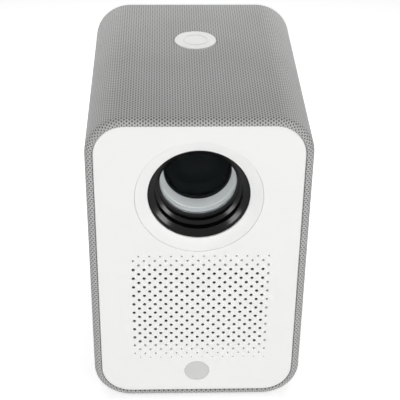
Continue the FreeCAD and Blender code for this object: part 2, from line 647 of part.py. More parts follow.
def front_panel():
    """The white front: lens opening, remote control window, studs behind, and the speaker grille."""
    body = new_body("front_panel")

    def face(sketch):
        outline(sketch, PANEL_EDGE)
        circle(sketch, "0", LENS_Z, "dish_radius + slip")
        circle(sketch, "0", "window_height", "window_radius + slip")
    plate = add(body, "XZ_Plane", "panel_inset", PANEL_BACK, "plate", face)
    fillet(body, plate, outline_edges(plate, "panel_inset", PANEL_EDGE), "panel_edge", "edge")
    add(body, "XZ_Plane", PANEL_BACK, f"{LEDGE_BACK} + slip", "studs",
        lambda s: four(s, CORNER_X, CORNER_LOW, CORNER_HIGH, "stud_radius"))

    def posts(sketch):
        for side in ("-receiver_post", "receiver_post"):
            circle(sketch, side, "window_height", "stud_radius")
    add(body, "XZ_Plane", PANEL_BACK, f"{PANEL_BACK} + receiver_gap", "receiver_posts", posts)
    cut(body, "XZ_Plane", "0", f"{PANEL_BACK} + slip", "grille", grille)


def grille_mesh():
    """A thin dark mesh between the grille and the speaker."""
    body = new_body("grille_mesh")
    add(body, "XZ_Plane", PANEL_BACK, f"{PANEL_BACK} + mesh_thickness", "sheet",
        lambda s: rectangle(s, f"-{MESH_ACROSS}", MESH_ACROSS, "grille_bottom - mesh_below",
                            f"{GRILLE_TOP} + mesh_above"))


def ir_window():
    """The round grey window of the remote control receiver, with a flange behind the panel."""
    body = new_body("ir_window", z="window_height")
    turn_profile(body, (("panel_inset", "0"), ("panel_inset", "window_radius"),
                        (PANEL_BACK, "window_radius"), (PANEL_BACK, "window_radius + window_flange"),
                        (f"{PANEL_BACK} + window_flange", "window_radius + window_flange"),
                        (f"{PANEL_BACK} + window_flange", "0")), "window")


def ir_receiver_board():
    """A small board on the panel's posts with the receiver's bead behind the window."""
    body = new_body("ir_receiver_board", z="window_height")
    face = f"({PANEL_BACK} + receiver_gap)"
    add(body, "XZ_Plane", face, f"{face} + board_thickness", "board",
        lambda s: centred(s, "receiver_post + stud_radius", "window_radius"))
    add(body, "XZ_Plane", f"{PANEL_BACK} + window_flange + slip", face, "bead",
        lambda s: circle(s, "0", "0", "window_radius / 3"))


def air_slot(sketch, middle, half):
    """One level slot, as high as two rounded edges."""
    rectangle(sketch, f"-({half})", half, f"{middle} - panel_edge * 2", f"{middle} + panel_edge * 2")


def back_panel():
    """The removable back: fan and air slots, sockets' openings, screw seats and board posts."""
    body = new_body("back_panel")
    outer = "(body_depth - panel_inset)"
    inner = f"({REAR_INSIDE} - slip)"
    plate = add(body, "XZ_Plane", REAR_INSIDE, outer, "plate", lambda s: outline(s, PANEL_EDGE))
    fillet(body, plate, outline_edges(plate, outer, PANEL_EDGE), "panel_edge", "edge")

    def fan_slots(sketch):
        for step in range(-4, 5):
            rise = f"({step} * fan_half / 5)"
            air_slot(sketch, f"{LENS_Z} + {rise}", f"sqrt(fan_bore ^ 2 - {rise} ^ 2) - panel_edge")
    cut(body, "XZ_Plane", inner, "body_depth", "fan_slots", fan_slots)

    def air_slots(sketch):
        for step in range(6):
            air_slot(sketch, f"{SUPPLY_TOP} + 2 * panel_edge - {step} * fan_half / 5",
                     "supply_across - 4 * boss_wall")
    cut(body, "XZ_Plane", inner, "body_depth", "air_slots", air_slots)

    def sockets(sketch):
        for place, half, up, length in (VIDEO, DATA, AUDIO, POWER):
            rectangle(sketch, f"{place} - {half} - 2 * slip", f"{place} + {half} + 2 * slip",
                      f"{BOARD_TOP} - 2 * slip", f"{BOARD_TOP} + {up} + 2 * slip")
    cut(body, "XZ_Plane", inner, "body_depth", "sockets", sockets)
    for name, low, radius in (("screw_holes", inner, "screw_radius + slip"),
                              ("screw_seats", f"{outer} - screw_head_depth", "screw_head + 2 * slip")):
        cut(body, "XZ_Plane", low, "body_depth", name,
            lambda s, r=radius: four(s, CORNER_X, CORNER_LOW, CORNER_HIGH, r))

    def posts(sketch):
        four(sketch, "supply_across - 2 * boss_wall", "supply_bottom + 2 * boss_wall",
             f"{SUPPLY_TOP} - 2 * boss_wall", "boss_wall")
    add(body, "XZ_Plane", f"{REAR_INSIDE} - supply_gap + board_thickness", REAR_INSIDE, "posts", posts)


def back_screws():
    """Four screws that hold the back panel on the ledge."""
    body = new_body("back_screws")
    seat = "(body_depth - panel_inset - screw_head_depth)"
    for column, across in enumerate((f"-{CORNER_X}", CORNER_X)):
        for row, up in enumerate((CORNER_LOW, CORNER_HIGH)):
            index = f"{column}{row}"
            add(body, "XZ_Plane", f"{seat} - screw_length", seat, f"shank{index}",
                lambda s, x=across, z=up: circle(s, x, z, "screw_radius"))
            add(body, "XZ_Plane", seat, f"{seat} + screw_head_depth", f"head{index}",
                lambda s, x=across, z=up: circle(s, x, z, "screw_head"))


def base_plate():
    """The underside's plate, flush in the sleeve: seats for the feet, and the tripod thread's boss."""
    body = new_body("base_plate")
    add(body, "XY_Plane", "0", "fabric", "plate",
        lambda s: centred(s, "base_across", "base_along", "base_corner"), centre=("0", MIDDLE))
    add(body, "XY_Plane", "0", "fabric + insert_length", "tripod_boss",
        lambda s: circle(s, "0", MIDDLE, "insert_radius + boss_wall"))

    def seats(sketch):
        four(sketch, "foot_across", "body_depth / 2 - foot_along", "body_depth / 2 + foot_along",
             "foot_radius + slip")
    cut(body, "XY_Plane", "-fabric", "foot_seat", "seats", seats)
    cut(body, "XY_Plane", "-fabric", "fabric", "flange_seat",
        lambda s: circle(s, "0", MIDDLE, "insert_radius + boss_wall / 2 + slip"))
    cut(body, "XY_Plane", "0", "2 * insert_length", "insert_hole",
        lambda s: circle(s, "0", MIDDLE, "insert_radius"))


def rubber_feet():
    """Four round rubber feet."""
    body = new_body("rubber_feet")
    for across in ("-foot_across", "foot_across"):
        for along in ("-foot_along", "foot_along"):
            index = f"{'l' if across[0] == '-' else 'r'}{'f' if along[0] == '-' else 'b'}"
            add(body, "XY_Plane", "-foot_height", "foot_seat", f"foot_{index}",
                lambda s, x=across, y=along: circle(s, x, f"body_depth / 2 + {y}", "foot_radius"))
    low = [name for name in edges_at(body.Tip, "Z", number("-foot_height"))]
    fillet(body, body.Tip, low, "foot_seat", "edge")


def tripod_insert():
    """The brass tripod thread, pressed in the base plate's boss, its flange flush with the plate."""
    body = new_body("tripod_insert", y=MIDDLE)
    turn_profile(body, (("insert_bore", "0"), ("insert_radius + boss_wall / 2", "0"),
                        ("insert_radius + boss_wall / 2", "fabric"), ("insert_radius", "fabric"),
                        ("insert_radius", "fabric + insert_length"), ("0", "fabric + insert_length"),
                        ("0", "insert_thread"), ("insert_bore", "insert_thread")),
                 "insert", "XZ_Plane", "V_Axis")


def engine_shelf():
    """The shelf on the housing's bearers that carries the light engine."""
    body = new_body("engine_shelf")
    across = f"(body_width / 2 - {CAVITY} - slip)"
    add(body, "XY_Plane", f"{SHELF_TOP} - shelf_thickness", SHELF_TOP, "plate",
        lambda s: rounded(s, f"-{across}", across, "shelf_front", SHELF_BACK, "boss_wall"))
    cut(body, "XY_Plane", f"{SHELF_TOP} - 2 * shelf_thickness", SHELF_TOP, "air_hole",
        lambda s: rounded(s, "-engine_across / 2", "engine_across / 2", "engine_front + 2 * engine_wall",
                          f"{ENGINE_BACK} - 2 * engine_wall", "2 * boss_wall"))


# ---- speaker ----

def speaker_frame():
    """A square flange with a conical basket."""
    body = new_body("speaker_frame", z=SPEAKER_Z)
    face = f"({PANEL_BACK} + mesh_thickness)"
    rim = f"({face} + speaker_flange)"
    add(body, "XZ_Plane", face, rim, "flange",
        lambda s: centred(s, SPEAKER_HALF, SPEAKER_HALF, "boss_wall"))
    cut(body, "XZ_Plane", f"{face} - slip", rim, "hole", lambda s: circle(s, "0", "0", SPEAKER_HOLE))
    end = f"({rim} + basket_depth)"
    turn_profile(body, ((rim, f"{BASKET} - basket_wall"), (rim, BASKET),
                        (f"{rim} + basket_depth / 4", BASKET), (end, MAGNET),
                        (end, "cone_radius + basket_wall"),
                        (f"{end} - basket_wall", "cone_radius + basket_wall"),
                        (f"{end} - basket_wall", f"{MAGNET} - basket_wall"),
                        (f"{rim} + basket_depth / 4", f"{BASKET} - basket_wall")), "basket")


def speaker_cone():
    """The paper cone with its surround and dust cap, in the flange's opening."""
    body = new_body("speaker_cone", z=SPEAKER_Z)
    face = f"({PANEL_BACK} + mesh_thickness + speaker_flange)"
    turn_profile(body, ((f"{face} - basket_wall", f"{SPEAKER_HOLE} - slip"),
                        (face, f"{SPEAKER_HOLE} - slip"),
                        (face, f"{SPEAKER_HOLE} - 3 * basket_wall"),
                        (f"{face} + basket_depth * 3 / 4", "cone_radius"),
                        (f"{face} + basket_depth / 2", "0"),
                        (f"{face} + basket_depth / 2 - basket_wall", "0"),
                        (f"{face} + basket_depth * 3 / 4 - 2 * basket_wall", "cone_radius"),
                        (f"{face} - basket_wall / 2", f"{SPEAKER_HOLE} - 3 * basket_wall"),
                        (f"{face} - basket_wall", f"{SPEAKER_HOLE} - 2 * basket_wall")), "cone")


def speaker_magnet():
    """The magnet with its pole piece through the basket's back."""
    body = new_body("speaker_magnet", z=SPEAKER_Z)
    back = f"({PANEL_BACK} + mesh_thickness + speaker_flange + basket_depth)"
    turn_profile(body, ((f"{back} - basket_wall", "0"),
                        (f"{back} - basket_wall", "cone_radius + basket_wall"),
                        (back, "cone_radius + basket_wall"), (back, MAGNET),
                        (f"{back} + magnet_depth", MAGNET), (f"{back} + magnet_depth", "0")), "magnet")


# ---- lens ----

def lens_surround():
    """The white dished ring round the lens; the hood seats in its back."""
    body = new_body("lens_surround", z=LENS_Z)
    turn_profile(body, (("panel_inset", "dish_radius"), ("dish_depth", "dish_throat"),
                        ("dish_depth + rim_roll / 4", "dish_throat"),
                        ("dish_depth + rim_roll / 4", "dish_throat + hood_wall"),
                        ("dish_depth + 2 * rim_roll", "dish_throat + hood_wall"),
                        ("dish_depth + 2 * rim_roll", "dish_throat + 2 * hood_wall"),
                        (f"{PANEL_BACK} + window_flange", "dish_throat + 2 * hood_wall"),
                        (f"{PANEL_BACK} + window_flange", "dish_flange"), (PANEL_BACK, "dish_flange"),
                        (PANEL_BACK, "dish_radius")), "ring")


def lens_hood():
    """The glossy black hood: two cones with a step between them."""
    body = new_body("lens_hood", z=LENS_Z)
    front = "(dish_depth + rim_roll / 4)"
    step = f"(({front} + hood_back) / 2)"
    turn_profile(body, ((front, "dish_throat"), (front, "dish_throat + hood_wall"),
                        ("dish_depth + 2 * rim_roll", "dish_throat + hood_wall"),
                        ("hood_back", "hood_mouth + 2 * hood_wall"), ("hood_back", "hood_mouth"),
                        (step, "hood_step - hood_wall"), (step, "hood_step")), "hood")


def lens_barrel():
    """The sliding barrel: front lip, seat for the lenses and two follower pins."""
    body = new_body("lens_barrel", z=LENS_Z)
    front = "(glass_depth - barrel_lip)"
    back = f"({front} + barrel_length)"
    turn_profile(body, ((front, "glass_radius"), (front, BARREL_RADIUS), (back, BARREL_RADIUS),
                        (back, "element_radius + running"), ("glass_depth", "element_radius + running"),
                        ("glass_depth", "glass_radius")), "tube")
    pin = f"{BARREL_RADIUS} + mount_wall + cam_depth / 2"
    add(body, "XY_Plane", f"{BARREL_RADIUS} - barrel_wall / 2", pin, "pin_top",
        lambda s: circle(s, "0", "pin_depth", "pin_radius"))
    add(body, "XY_Plane", f"-({pin})", f"-({BARREL_RADIUS} - barrel_wall / 2)", "pin_bottom",
        lambda s: circle(s, "0", "pin_depth", "pin_radius"))


def dome_profile(sketch, flat, edge, radius, dome):
    """Half a plano-convex lens: flat back at y = flat, rim to y = edge, dome in front of the rim."""
    low, high, top, rise = (number(words) for words in (edge, flat, radius, dome))
    nose = low - rise
    bend = (top ** 2 + rise ** 2) / (2 * rise)
    ring = Part.Circle(Vector(nose + bend, 0, 0), Vector(0, 0, 1), bend)
    start = math.atan2(top, low - nose - bend)
    corners = [Vector(nose, 0, 0), Vector(high, 0, 0), Vector(high, top, 0), Vector(low, top, 0)]
    sketch.addGeometry(Part.ArcOfCircle(ring, start, math.pi), False)
    for index in range(3):
        sketch.addGeometry(Part.LineSegment(corners[index], corners[index + 1]), False)
    for index in range(4):
        sketch.addConstraint(Sketcher.Constraint("Coincident", index, 2, (index + 1) % 4, 1))
    sketch.addConstraint(Sketcher.Constraint("PointOnObject", 0, 3, -1))
    hold(sketch, ((1, 1, f"({edge}) - ({dome})", "0"), (2, 1, flat, "0"), (3, 1, flat, radius),
                  (0, 1, edge, radius)))


def domed_lens(label, flat, edge, radius, dome, z=LENS_Z):
    """A plano-convex lens about its axis."""
    body = new_body(label, z=z)
    sketch = new_sketch(body, "YZ_Plane", "0", "profile")
    dome_profile(sketch, flat, edge, radius, dome)
    feature = body.newObject("PartDesign::Revolution", f"{body.Name}_dome")
    feature.Profile = sketch
    feature.ReferenceAxis = (sketch, ["H_Axis"])
    feature.Angle = 360
    doc.recompute()
    return body


def front_lens():
    """The large front glass, domed forwards through the barrel's lip."""
    body = domed_lens("front_lens", "glass_depth + glass_edge", "glass_depth", "glass_radius", "glass_dome")
    turn_profile(body, (("glass_depth", "glass_radius - glass_edge"), ("glass_depth", "element_radius"),
                        ("glass_depth + glass_edge", "element_radius"),
                        ("glass_depth + glass_edge", "glass_radius - glass_edge")), "rim")


def spacer_ring():
    """The bright tapered ring that keeps the front lens off the middle lens."""
    body = new_body("spacer_ring", z=LENS_Z)
    turn_profile(body, (("glass_depth + glass_edge", "glass_radius"),
                        ("glass_depth + glass_edge", "element_radius"), (SPACER_BACK, "element_radius"),
                        (SPACER_BACK, "spacer_throat")), "ring")


def middle_lens():
    """The second lens, domed towards the front inside the bright ring."""
    body = domed_lens("middle_lens", f"{SPACER_BACK} + middle_length", SPACER_BACK, "spacer_throat - slip",
                      "glass_dome")
    turn_profile(body, ((SPACER_BACK, "spacer_throat - glass_edge"), (SPACER_BACK, "element_radius"),
                        (f"{SPACER_BACK} + middle_length", "element_radius"),
                        (f"{SPACER_BACK} + middle_length", "spacer_throat - glass_edge")), "rim")


def rear_lens():
    """The rear lens group in its cell, held by the retaining ring."""
    front = f"({SPACER_BACK} + middle_length)"
    domed_lens("rear_lens", f"{front} + rear_length",
               f"{front} + glass_dome", "element_radius", "glass_dome")


def rear_retaining_ring():
    """The ring screwed into the barrel's back behind the rear lens."""
    body = new_body("rear_retaining_ring", z=LENS_Z)
    front = f"({SPACER_BACK} + middle_length + rear_length)"
    turn_profile(body, ((front, "spacer_throat"), (front, "element_radius"),
                        (f"{front} + glass_edge", "element_radius"),
                        (f"{front} + glass_edge", "spacer_throat")),
                 "ring")


def lens_mount():
    """The fixed tube that guides the barrel: straight slots for its pins, collar, square flange."""
    body = new_body("lens_mount", z=LENS_Z)
    collar = f"({RING_BACK} + 2 * slip)"
    turn_profile(body, (("mount_front", MOUNT_BORE), ("mount_front", MOUNT_RADIUS), (collar, MOUNT_RADIUS),
                        (collar, f"{MOUNT_RADIUS} + collar_height"),
                        (f"{collar} + collar_length", f"{MOUNT_RADIUS} + collar_height"),
                        (f"{collar} + collar_length", MOUNT_RADIUS), ("engine_front", MOUNT_RADIUS),
                        ("engine_front", MOUNT_BORE)), "tube")

    def flange(sketch):
        centred(sketch, "engine_across - slip", "engine_up - slip", "boss_wall")
        circle(sketch, "0", "0", MOUNT_BORE)
    add(body, "XZ_Plane", "engine_front - mount_flange", "engine_front", "flange", flange)

    def slot(sketch):
        half = "(pin_radius + slip)"
        rectangle(sketch, f"-{half}", half, f"pin_depth - {CAM_HALF}", f"pin_depth + {CAM_HALF}")
    cut(body, "XY_Plane", f"-({MOUNT_RADIUS} + slip)", f"{MOUNT_RADIUS} + slip", "slots", slot)


def gear_outline(sketch, teeth_words, phase):
    """Straight-flanked teeth about the sketch's zero; the first tooth stands at the phase angle."""
    teeth = round(number(teeth_words))
    pitch = number("gear_module") * teeth / 2
    rise, fall = number("addendum * gear_module"), number("dedendum * gear_module")
    tip, root = pitch + rise, pitch - fall
    tooth_angle = 2 * math.pi / teeth
    half_pitch = tooth_angle / 4 - number("backlash") / pitch / 2
    slope = math.tan(math.radians(number("pressure_angle")))
    half_tip = half_pitch - rise * slope / tip
    half_root = half_pitch + fall * slope / root
    points = []
    for tooth in range(teeth):
        middle = phase + tooth * tooth_angle
        for radius, angle in ((root, middle - half_root), (tip, middle - half_tip),
                              (tip, middle + half_tip), (root, middle + half_root)):
            points.append(Vector(radius * math.cos(angle), radius * math.sin(angle), 0))
    flanks = [Part.LineSegment(point, points[(index + 1) % len(points)])
              for index, point in enumerate(points)]
    sketch.addGeometry(flanks, False)


def focus_ring():
    """The toothed ring that turns on the lens mount; the barrel's pins ride in its cam groove."""
    body = new_body("focus_ring", z=LENS_Z)
    outer = f"({PITCH_RADIUS} - dedendum * gear_module)"
    bore = f"({MOUNT_RADIUS} + running)"
    groove = f"({MOUNT_RADIUS} + cam_depth)"
    turn_profile(body, ((RING_FRONT, bore), (RING_FRONT, f"{outer} - gear_module"),
                        ("pin_depth - gear_width / 2", f"{outer} - gear_module / 4"),
                        ("pin_depth + gear_width / 2", f"{outer} - gear_module / 4"),
                        (RING_BACK, f"{outer} - gear_module"), (RING_BACK, bore),
                        (f"pin_depth + {CAM_HALF}", bore), (f"pin_depth + {CAM_HALF}", groove),
                        (f"pin_depth - {CAM_HALF}", groove), (f"pin_depth - {CAM_HALF}", bore)), "ring")

    def teeth(sketch):
        gear_outline(sketch, "ring_teeth", math.pi)
        circle(sketch, "0", "0", f"{groove} + gear_module / 4")
    add(body, "XZ_Plane", "pin_depth - gear_width / 2", "pin_depth + gear_width / 2", "teeth", teeth)


def focus_retainer():
    """The collar that keeps the focus ring on the mount."""
    body = new_body("focus_retainer", z=LENS_Z)
    back = f"({RING_FRONT} - 2 * slip)"
    turn_profile(body, ((f"{back} - collar_length", MOUNT_RADIUS),
                        (f"{back} - collar_length", f"{MOUNT_RADIUS} + collar_height"),
                        (back, f"{MOUNT_RADIUS} + collar_height"), (back, MOUNT_RADIUS)), "collar")


def focus_motor():
    """The small focus motor, its can in front of the bracket."""
    body = new_body("focus_motor", x=f"-{GEAR_CENTRES}", z=LENS_Z)
    bore = "(shaft_radius + running)"
    turn_profile(body, ((MOTOR_FRONT, bore), (MOTOR_FRONT, "3 * shaft_radius"),
                        (f"{MOTOR_FRONT} + slip", "motor_radius"),
                        (f"{MOTOR_FRONT} + motor_length", "motor_radius"),
                        (f"{MOTOR_FRONT} + motor_length", "0"),
                        (f"{MOTOR_FRONT} + motor_length / 2", "0"),
                        (f"{MOTOR_FRONT} + motor_length / 2", bore)),
                 "can")


def focus_pinion():
    """The pinion with its shaft in the motor."""
    body = new_body("focus_pinion", x=f"-{GEAR_CENTRES}", z=LENS_Z)
    half_space = math.pi / round(number("pinion_teeth"))
    face = "(gear_width / 2 + 4 * slip)"
    add(body, "XZ_Plane", f"pin_depth - {face}", f"pin_depth + {face}", "teeth",
        lambda s: gear_outline(s, "pinion_teeth", half_space))
    add(body, "XZ_Plane", f"pin_depth + {face}", f"{MOTOR_FRONT} + motor_length / 2 - slip", "shaft",
        lambda s: circle(s, "0", "0", "shaft_radius"))


def motor_bracket():
    """A plate on the lens mount's flange that carries the focus motor, hollowed round the tube."""
    body = new_body("motor_bracket", z=LENS_Z)
    back = "(engine_front - mount_flange)"
    add(body, "XZ_Plane", f"{back} - bracket_thickness", back, "plate",
        lambda s: rounded(s, f"-({GEAR_CENTRES} + motor_radius + slip)", "-engine_across * 2 / 3",
                          "-engine_up / 2", "engine_up / 2", "boss_wall"))
    cut(body, "XZ_Plane", f"{back} - 2 * bracket_thickness", back, "tube_clearance",
        lambda s: circle(s, "0", "0", f"{MOUNT_RADIUS} + 3 * slip"))


# ---- light engine ----

def engine_housing():
    """The dark box that holds the image panel and condenser, on four feet."""
    body = new_body("engine_housing", z=LENS_Z)
    box = add(body, "XZ_Plane", "engine_front", ENGINE_BACK, "box",
              lambda s: centred(s, "engine_across", "engine_up", "boss_wall"))
    cut(body, "XZ_Plane", "engine_front + engine_wall", ENGINE_BACK, "hollow",
        lambda s: centred(s, "engine_across - engine_wall", "engine_up - engine_wall"))
    cut(body, "XZ_Plane", "engine_front - slip", "engine_front + 2 * engine_wall", "light_hole",
        lambda s: circle(s, "0", "0", "light_hole"))

    def feet(sketch):
        four(sketch, "engine_across - 2 * boss_wall", "engine_front + 3 * boss_wall",
             f"{ENGINE_BACK} - 3 * boss_wall", "boss_wall")
    add(body, "XY_Plane", f"{SHELF_TOP} - {LENS_Z}", "engine_wall / 2 - engine_up", "feet", feet)


def lcd_panel():
    """The image panel across the engine's hollow."""
    body = new_body("lcd_panel", z=LENS_Z)
    face = "(engine_front + engine_wall + lcd_gap)"
    add(body, "XZ_Plane", face, f"{face} + panel_lcd", "glass",
        lambda s: centred(s, "engine_across - engine_wall - slip", "engine_up - engine_wall - slip"))


def condenser_lens():
    """The condenser between lamp and image panel, trimmed to the hollow's height."""
    edge = f"({ENGINE_BACK} - condenser_gap)"
    domed_lens("condenser_lens", f"{edge} + condenser_edge", edge, "engine_up - engine_wall - slip",
               "condenser_dome")


def led_board():
    """The lamp's metal board, which closes the engine, with the light source on it."""
    body = new_body("led_board", z=LENS_Z)
    add(body, "XZ_Plane", ENGINE_BACK, BOARD_BACK, "board",
        lambda s: centred(s, "engine_across - slip", "engine_up - slip", "boss_wall"))
    add(body, "XZ_Plane", f"{ENGINE_BACK} - led_height", ENGINE_BACK, "source",
        lambda s: centred(s, "2 * led_height", "2 * led_height"))


def heatsink():
    """A base plate with a row of upright fins."""
    body = new_body("heatsink", z=LENS_Z)
    base = f"({BOARD_BACK} + sink_base)"
    add(body, "XZ_Plane", BOARD_BACK, base, "base",
        lambda s: centred(s, "engine_across - slip", "engine_up - slip"))

    def fins(sketch):
        for step in range(-4, 5):
            middle = f"{step} * fin_pitch"
            rectangle(sketch, f"{middle} - fin_thickness / 2", f"{middle} + fin_thickness / 2",
                      "slip - engine_up", "engine_up - slip")
    add(body, "XZ_Plane", base, f"{base} + fin_height", "fins", fins)


def fan_frame():
    """A square fan frame on the back panel, with four arms to the motor's seat."""
    body = new_body("fan_frame", z=LENS_Z)
    front = f"({REAR_INSIDE} - fan_depth)"
    arms = f"({REAR_INSIDE} - engine_wall)"
    add(body, "XZ_Plane", front, REAR_INSIDE, "block",
        lambda s: centred(s, "fan_half", "fan_half", "boss_wall"))
    cut(body, "XZ_Plane", front, REAR_INSIDE, "bore", lambda s: circle(s, "0", "0", "fan_bore"))
    add(body, "XZ_Plane", arms, REAR_INSIDE, "seat", lambda s: circle(s, "0", "0", "fan_hub"))
    for name, half_x, half_y in (("level", "fan_bore + slip", "engine_wall / 2"),
                                 ("upright", "engine_wall / 2", "fan_bore + slip")):
        add(body, "XZ_Plane", arms, REAR_INSIDE, f"arms_{name}",
            lambda s, x=half_x, y=half_y: centred(s, x, y))
    cut(body, "XZ_Plane", front, f"{REAR_INSIDE} - slip", "shaft_hole",
        lambda s: circle(s, "0", "0", "shaft_radius + running"))


def fan_rotor():
    """A hub with pitched blades and a shaft in the frame's seat."""
    body = new_body("fan_rotor", z=LENS_Z)
    front = f"({REAR_INSIDE} - fan_depth + engine_wall / 2)"
    back = f"({REAR_INSIDE} - engine_wall - 3 * slip)"
    hub = add(body, "XZ_Plane", front, back, "hub", lambda s: circle(s, "0", "0", "fan_hub"))
    add(body, "XZ_Plane", back, f"{REAR_INSIDE} - 3 * slip", "shaft",
        lambda s: circle(s, "0", "0", "shaft_radius"))

    def section(sketch):
        thick = "panel_edge"
        polygon(sketch, ((f"{front} + {thick}", "-fan_hub / 4"), (f"{front} + 3 * {thick}", "-fan_hub / 4"),
                         (f"{back} - {thick}", "fan_hub / 4"), (f"{back} - 3 * {thick}", "fan_hub / 4")))
    blade = add(body, "YZ_Plane", "fan_hub - boss_wall", "fan_bore - blade_gap", "blade", section)
    pattern = body.newObject("PartDesign::PolarPattern", f"{body.Name}_blades")
    pattern.Originals = [blade]
    pattern.Axis = (hub.Profile[0], ["N_Axis"])
    pattern.Angle = 360
    pattern.Occurrences = round(number("blade_count"))
    pattern.Refine = False
    body.Tip = pattern
    doc.recompute()


# ---- power button ----

def power_button():
    """The round cap with a raised ring, on a stem that reaches the switch."""
    body = new_body("power_button", y="button_depth")
    top = "(body_height + button_proud)"
    stem = f"({GUIDE_TOP} - guide_flange - guide_length - button_travel)"
    turn_profile(body, (("0", top), ("button_ring - panel_edge", top),
                        ("button_ring - panel_edge / 2", f"{top} + panel_edge / 3"),
                        ("button_ring + panel_edge / 2", f"{top} + panel_edge / 3"),
                        ("button_ring + panel_edge", top), ("button_radius - panel_edge", top),
                        ("button_radius - panel_edge / 3", f"{top} - panel_edge / 3"),
                        ("button_radius", f"{top} - panel_edge"), ("button_radius", BUTTON_UNDER),
                        ("button_stem", BUTTON_UNDER), ("button_stem", stem), ("0", stem)),
                 "cap", "XZ_Plane", "V_Axis")


def button_guide():
    """The guide under the housing's top: flange, bored tube and two legs for the switch board."""
    body = new_body("button_guide", y="button_depth")
    under = f"({GUIDE_TOP} - guide_flange)"
    turn_profile(body, (("button_stem + running", GUIDE_TOP), ("button_radius + boss_wall", GUIDE_TOP),
                        ("button_radius + boss_wall", under), ("2 * button_stem", under),
                        ("2 * button_stem", f"{under} - guide_length"),
                        ("button_stem + running", f"{under} - guide_length")),
                 "guide", "XZ_Plane", "V_Axis")

    def legs(sketch):
        for side in ("-button_radius * 3 / 4", "button_radius * 3 / 4"):
            circle(sketch, side, "0", "button_stem")
    add(body, "XY_Plane", f"{under} - leg_length", under, "legs", legs)


def button_switch():
    """A small board under the legs with the switch that the stem meets."""
    body = new_body("button_switch", y="button_depth")
    board = f"({GUIDE_TOP} - guide_flange - leg_length)"
    add(body, "XY_Plane", f"{board} - board_thickness", board, "board",
        lambda s: centred(s, "button_radius", "button_radius / 2"))
    add(body, "XY_Plane", board, f"{GUIDE_TOP} - guide_flange - guide_length - 2 * button_travel - slip",
        "switch", lambda s: centred(s, "boss_wall", "boss_wall"))


# ---- electronics ----

def main_board():
    """The main circuit board on the housing's posts, with a shielded processor."""
    body = new_body("main_board")
    add(body, "XY_Plane", "main_height", BOARD_TOP, "board",
        lambda s: rectangle(s, "-main_across", "main_across", MAIN_FRONT, f"{REAR_INSIDE} - slip"))
    add(body, "XY_Plane", BOARD_TOP, f"{BOARD_TOP} + boss_wall", "shield",
        lambda s: rectangle(s, "-main_across / 2", "main_across / 3", f"{MAIN_FRONT} + 2 * boss_wall",
                            f"{MAIN_FRONT} + 12 * boss_wall"))


def socket_block(label, socket, hole):
    """A socket on the board's rear edge whose mouth stands in the back panel."""
    place, half, up, length = socket
    body = new_body(label, x=place, z=BOARD_TOP)
    add(body, "XZ_Plane", f"{MOUTH} - ({length})", MOUTH, "shell",
        lambda s: rectangle(s, f"-{half}", half, "0", up))
    cut(body, "XZ_Plane", f"{MOUTH} - ({length}) + socket_back", MOUTH, "mouth", hole)
    return body


def flat_socket(label, socket, low, high):
    """A rectangular socket of sheet metal with a flat tongue between two heights."""
    place, half, up, length = socket
    body = socket_block(label, socket, lambda s: rectangle(
        s, f"socket_wall - {half}", f"{half} - socket_wall", "socket_wall", f"{up} - socket_wall"))
    add(body, "XZ_Plane", f"{MOUTH} - {length} + socket_back / 2", f"{MOUTH} - socket_back / 2", "tongue",
        lambda s: rectangle(s, f"2 * socket_back - {half}", f"{half} - 2 * socket_back", low, high))


def hdmi_port():
    """The video socket, its tongue in the middle."""
    flat_socket("hdmi_port", VIDEO, "hdmi_up / 2 - tongue / 2", "hdmi_up / 2 + tongue / 2")


def usb_port():
    """The data socket, its tongue along the top."""
    flat_socket("usb_port", DATA, "usb_up - socket_wall - 2 * tongue", "usb_up - socket_wall")


def audio_jack():
    """The headphone jack."""
    socket_block("audio_jack", AUDIO, lambda s: circle(s, "0", "jack_half", "audio_bore"))


def dc_inlet():
    """The power inlet with its centre pin."""
    body = socket_block("dc_inlet", POWER, lambda s: circle(s, "0", "inlet_half", "inlet_bore"))
    add(body, "XZ_Plane", f"{MOUTH} - inlet_length + socket_back / 2", f"{MOUTH} - socket_back / 2", "pin",
        lambda s: circle(s, "0", "inlet_half", "inlet_bore / 3"))


def power_supply():
    """The supply board on the back panel's posts, with a transformer and two capacitors."""
    body = new_body("power_supply")
    back = f"({REAR_INSIDE} - supply_gap + board_thickness)"
    front = f"({REAR_INSIDE} - supply_gap)"
    add(body, "XZ_Plane", front, back, "board",
        lambda s: rounded(s, "-supply_across", "supply_across", "supply_bottom", SUPPLY_TOP, "boss_wall"))
    add(body, "XZ_Plane", f"{front} - 6 * boss_wall", front, "transformer",
        lambda s: rectangle(s, "-6 * boss_wall", "2 * boss_wall", "supply_bottom + 4 * boss_wall",
                            f"{SUPPLY_TOP} - 6 * boss_wall"))

    def capacitors(sketch):
        for up in ("supply_bottom + 5 * boss_wall", "supply_bottom + 10 * boss_wall"):
            circle(sketch, "8 * boss_wall", up, "2 * boss_wall")
    add(body, "XZ_Plane", f"{front} - 7 * boss_wall", front, "capacitors", capacitors)


# ---- disc drive: drawn about the drive's middle, z up from its underside ----

def drive_body(label, x="0", turn=0.0):
    """A body of the drive."""
    return new_body(label, x=x, y=MIDDLE, z="drive_bottom", turn=turn)


def drive_surround():
    """The frame in the housing's side that lines the tray opening."""
    body = drive_body("drive_surround")

    def frame(sketch):
        outer = "(drive_across + surround_wall)"
        rounded(sketch, f"-{outer}", outer, "-surround_wall", "drive_height + surround_wall",
                "surround_wall - running")
        rectangle(sketch, "-drive_across", "drive_across", "0", "drive_height")
    add(body, "YZ_Plane", CASE_FRONT, "body_width / 2", "frame", frame)


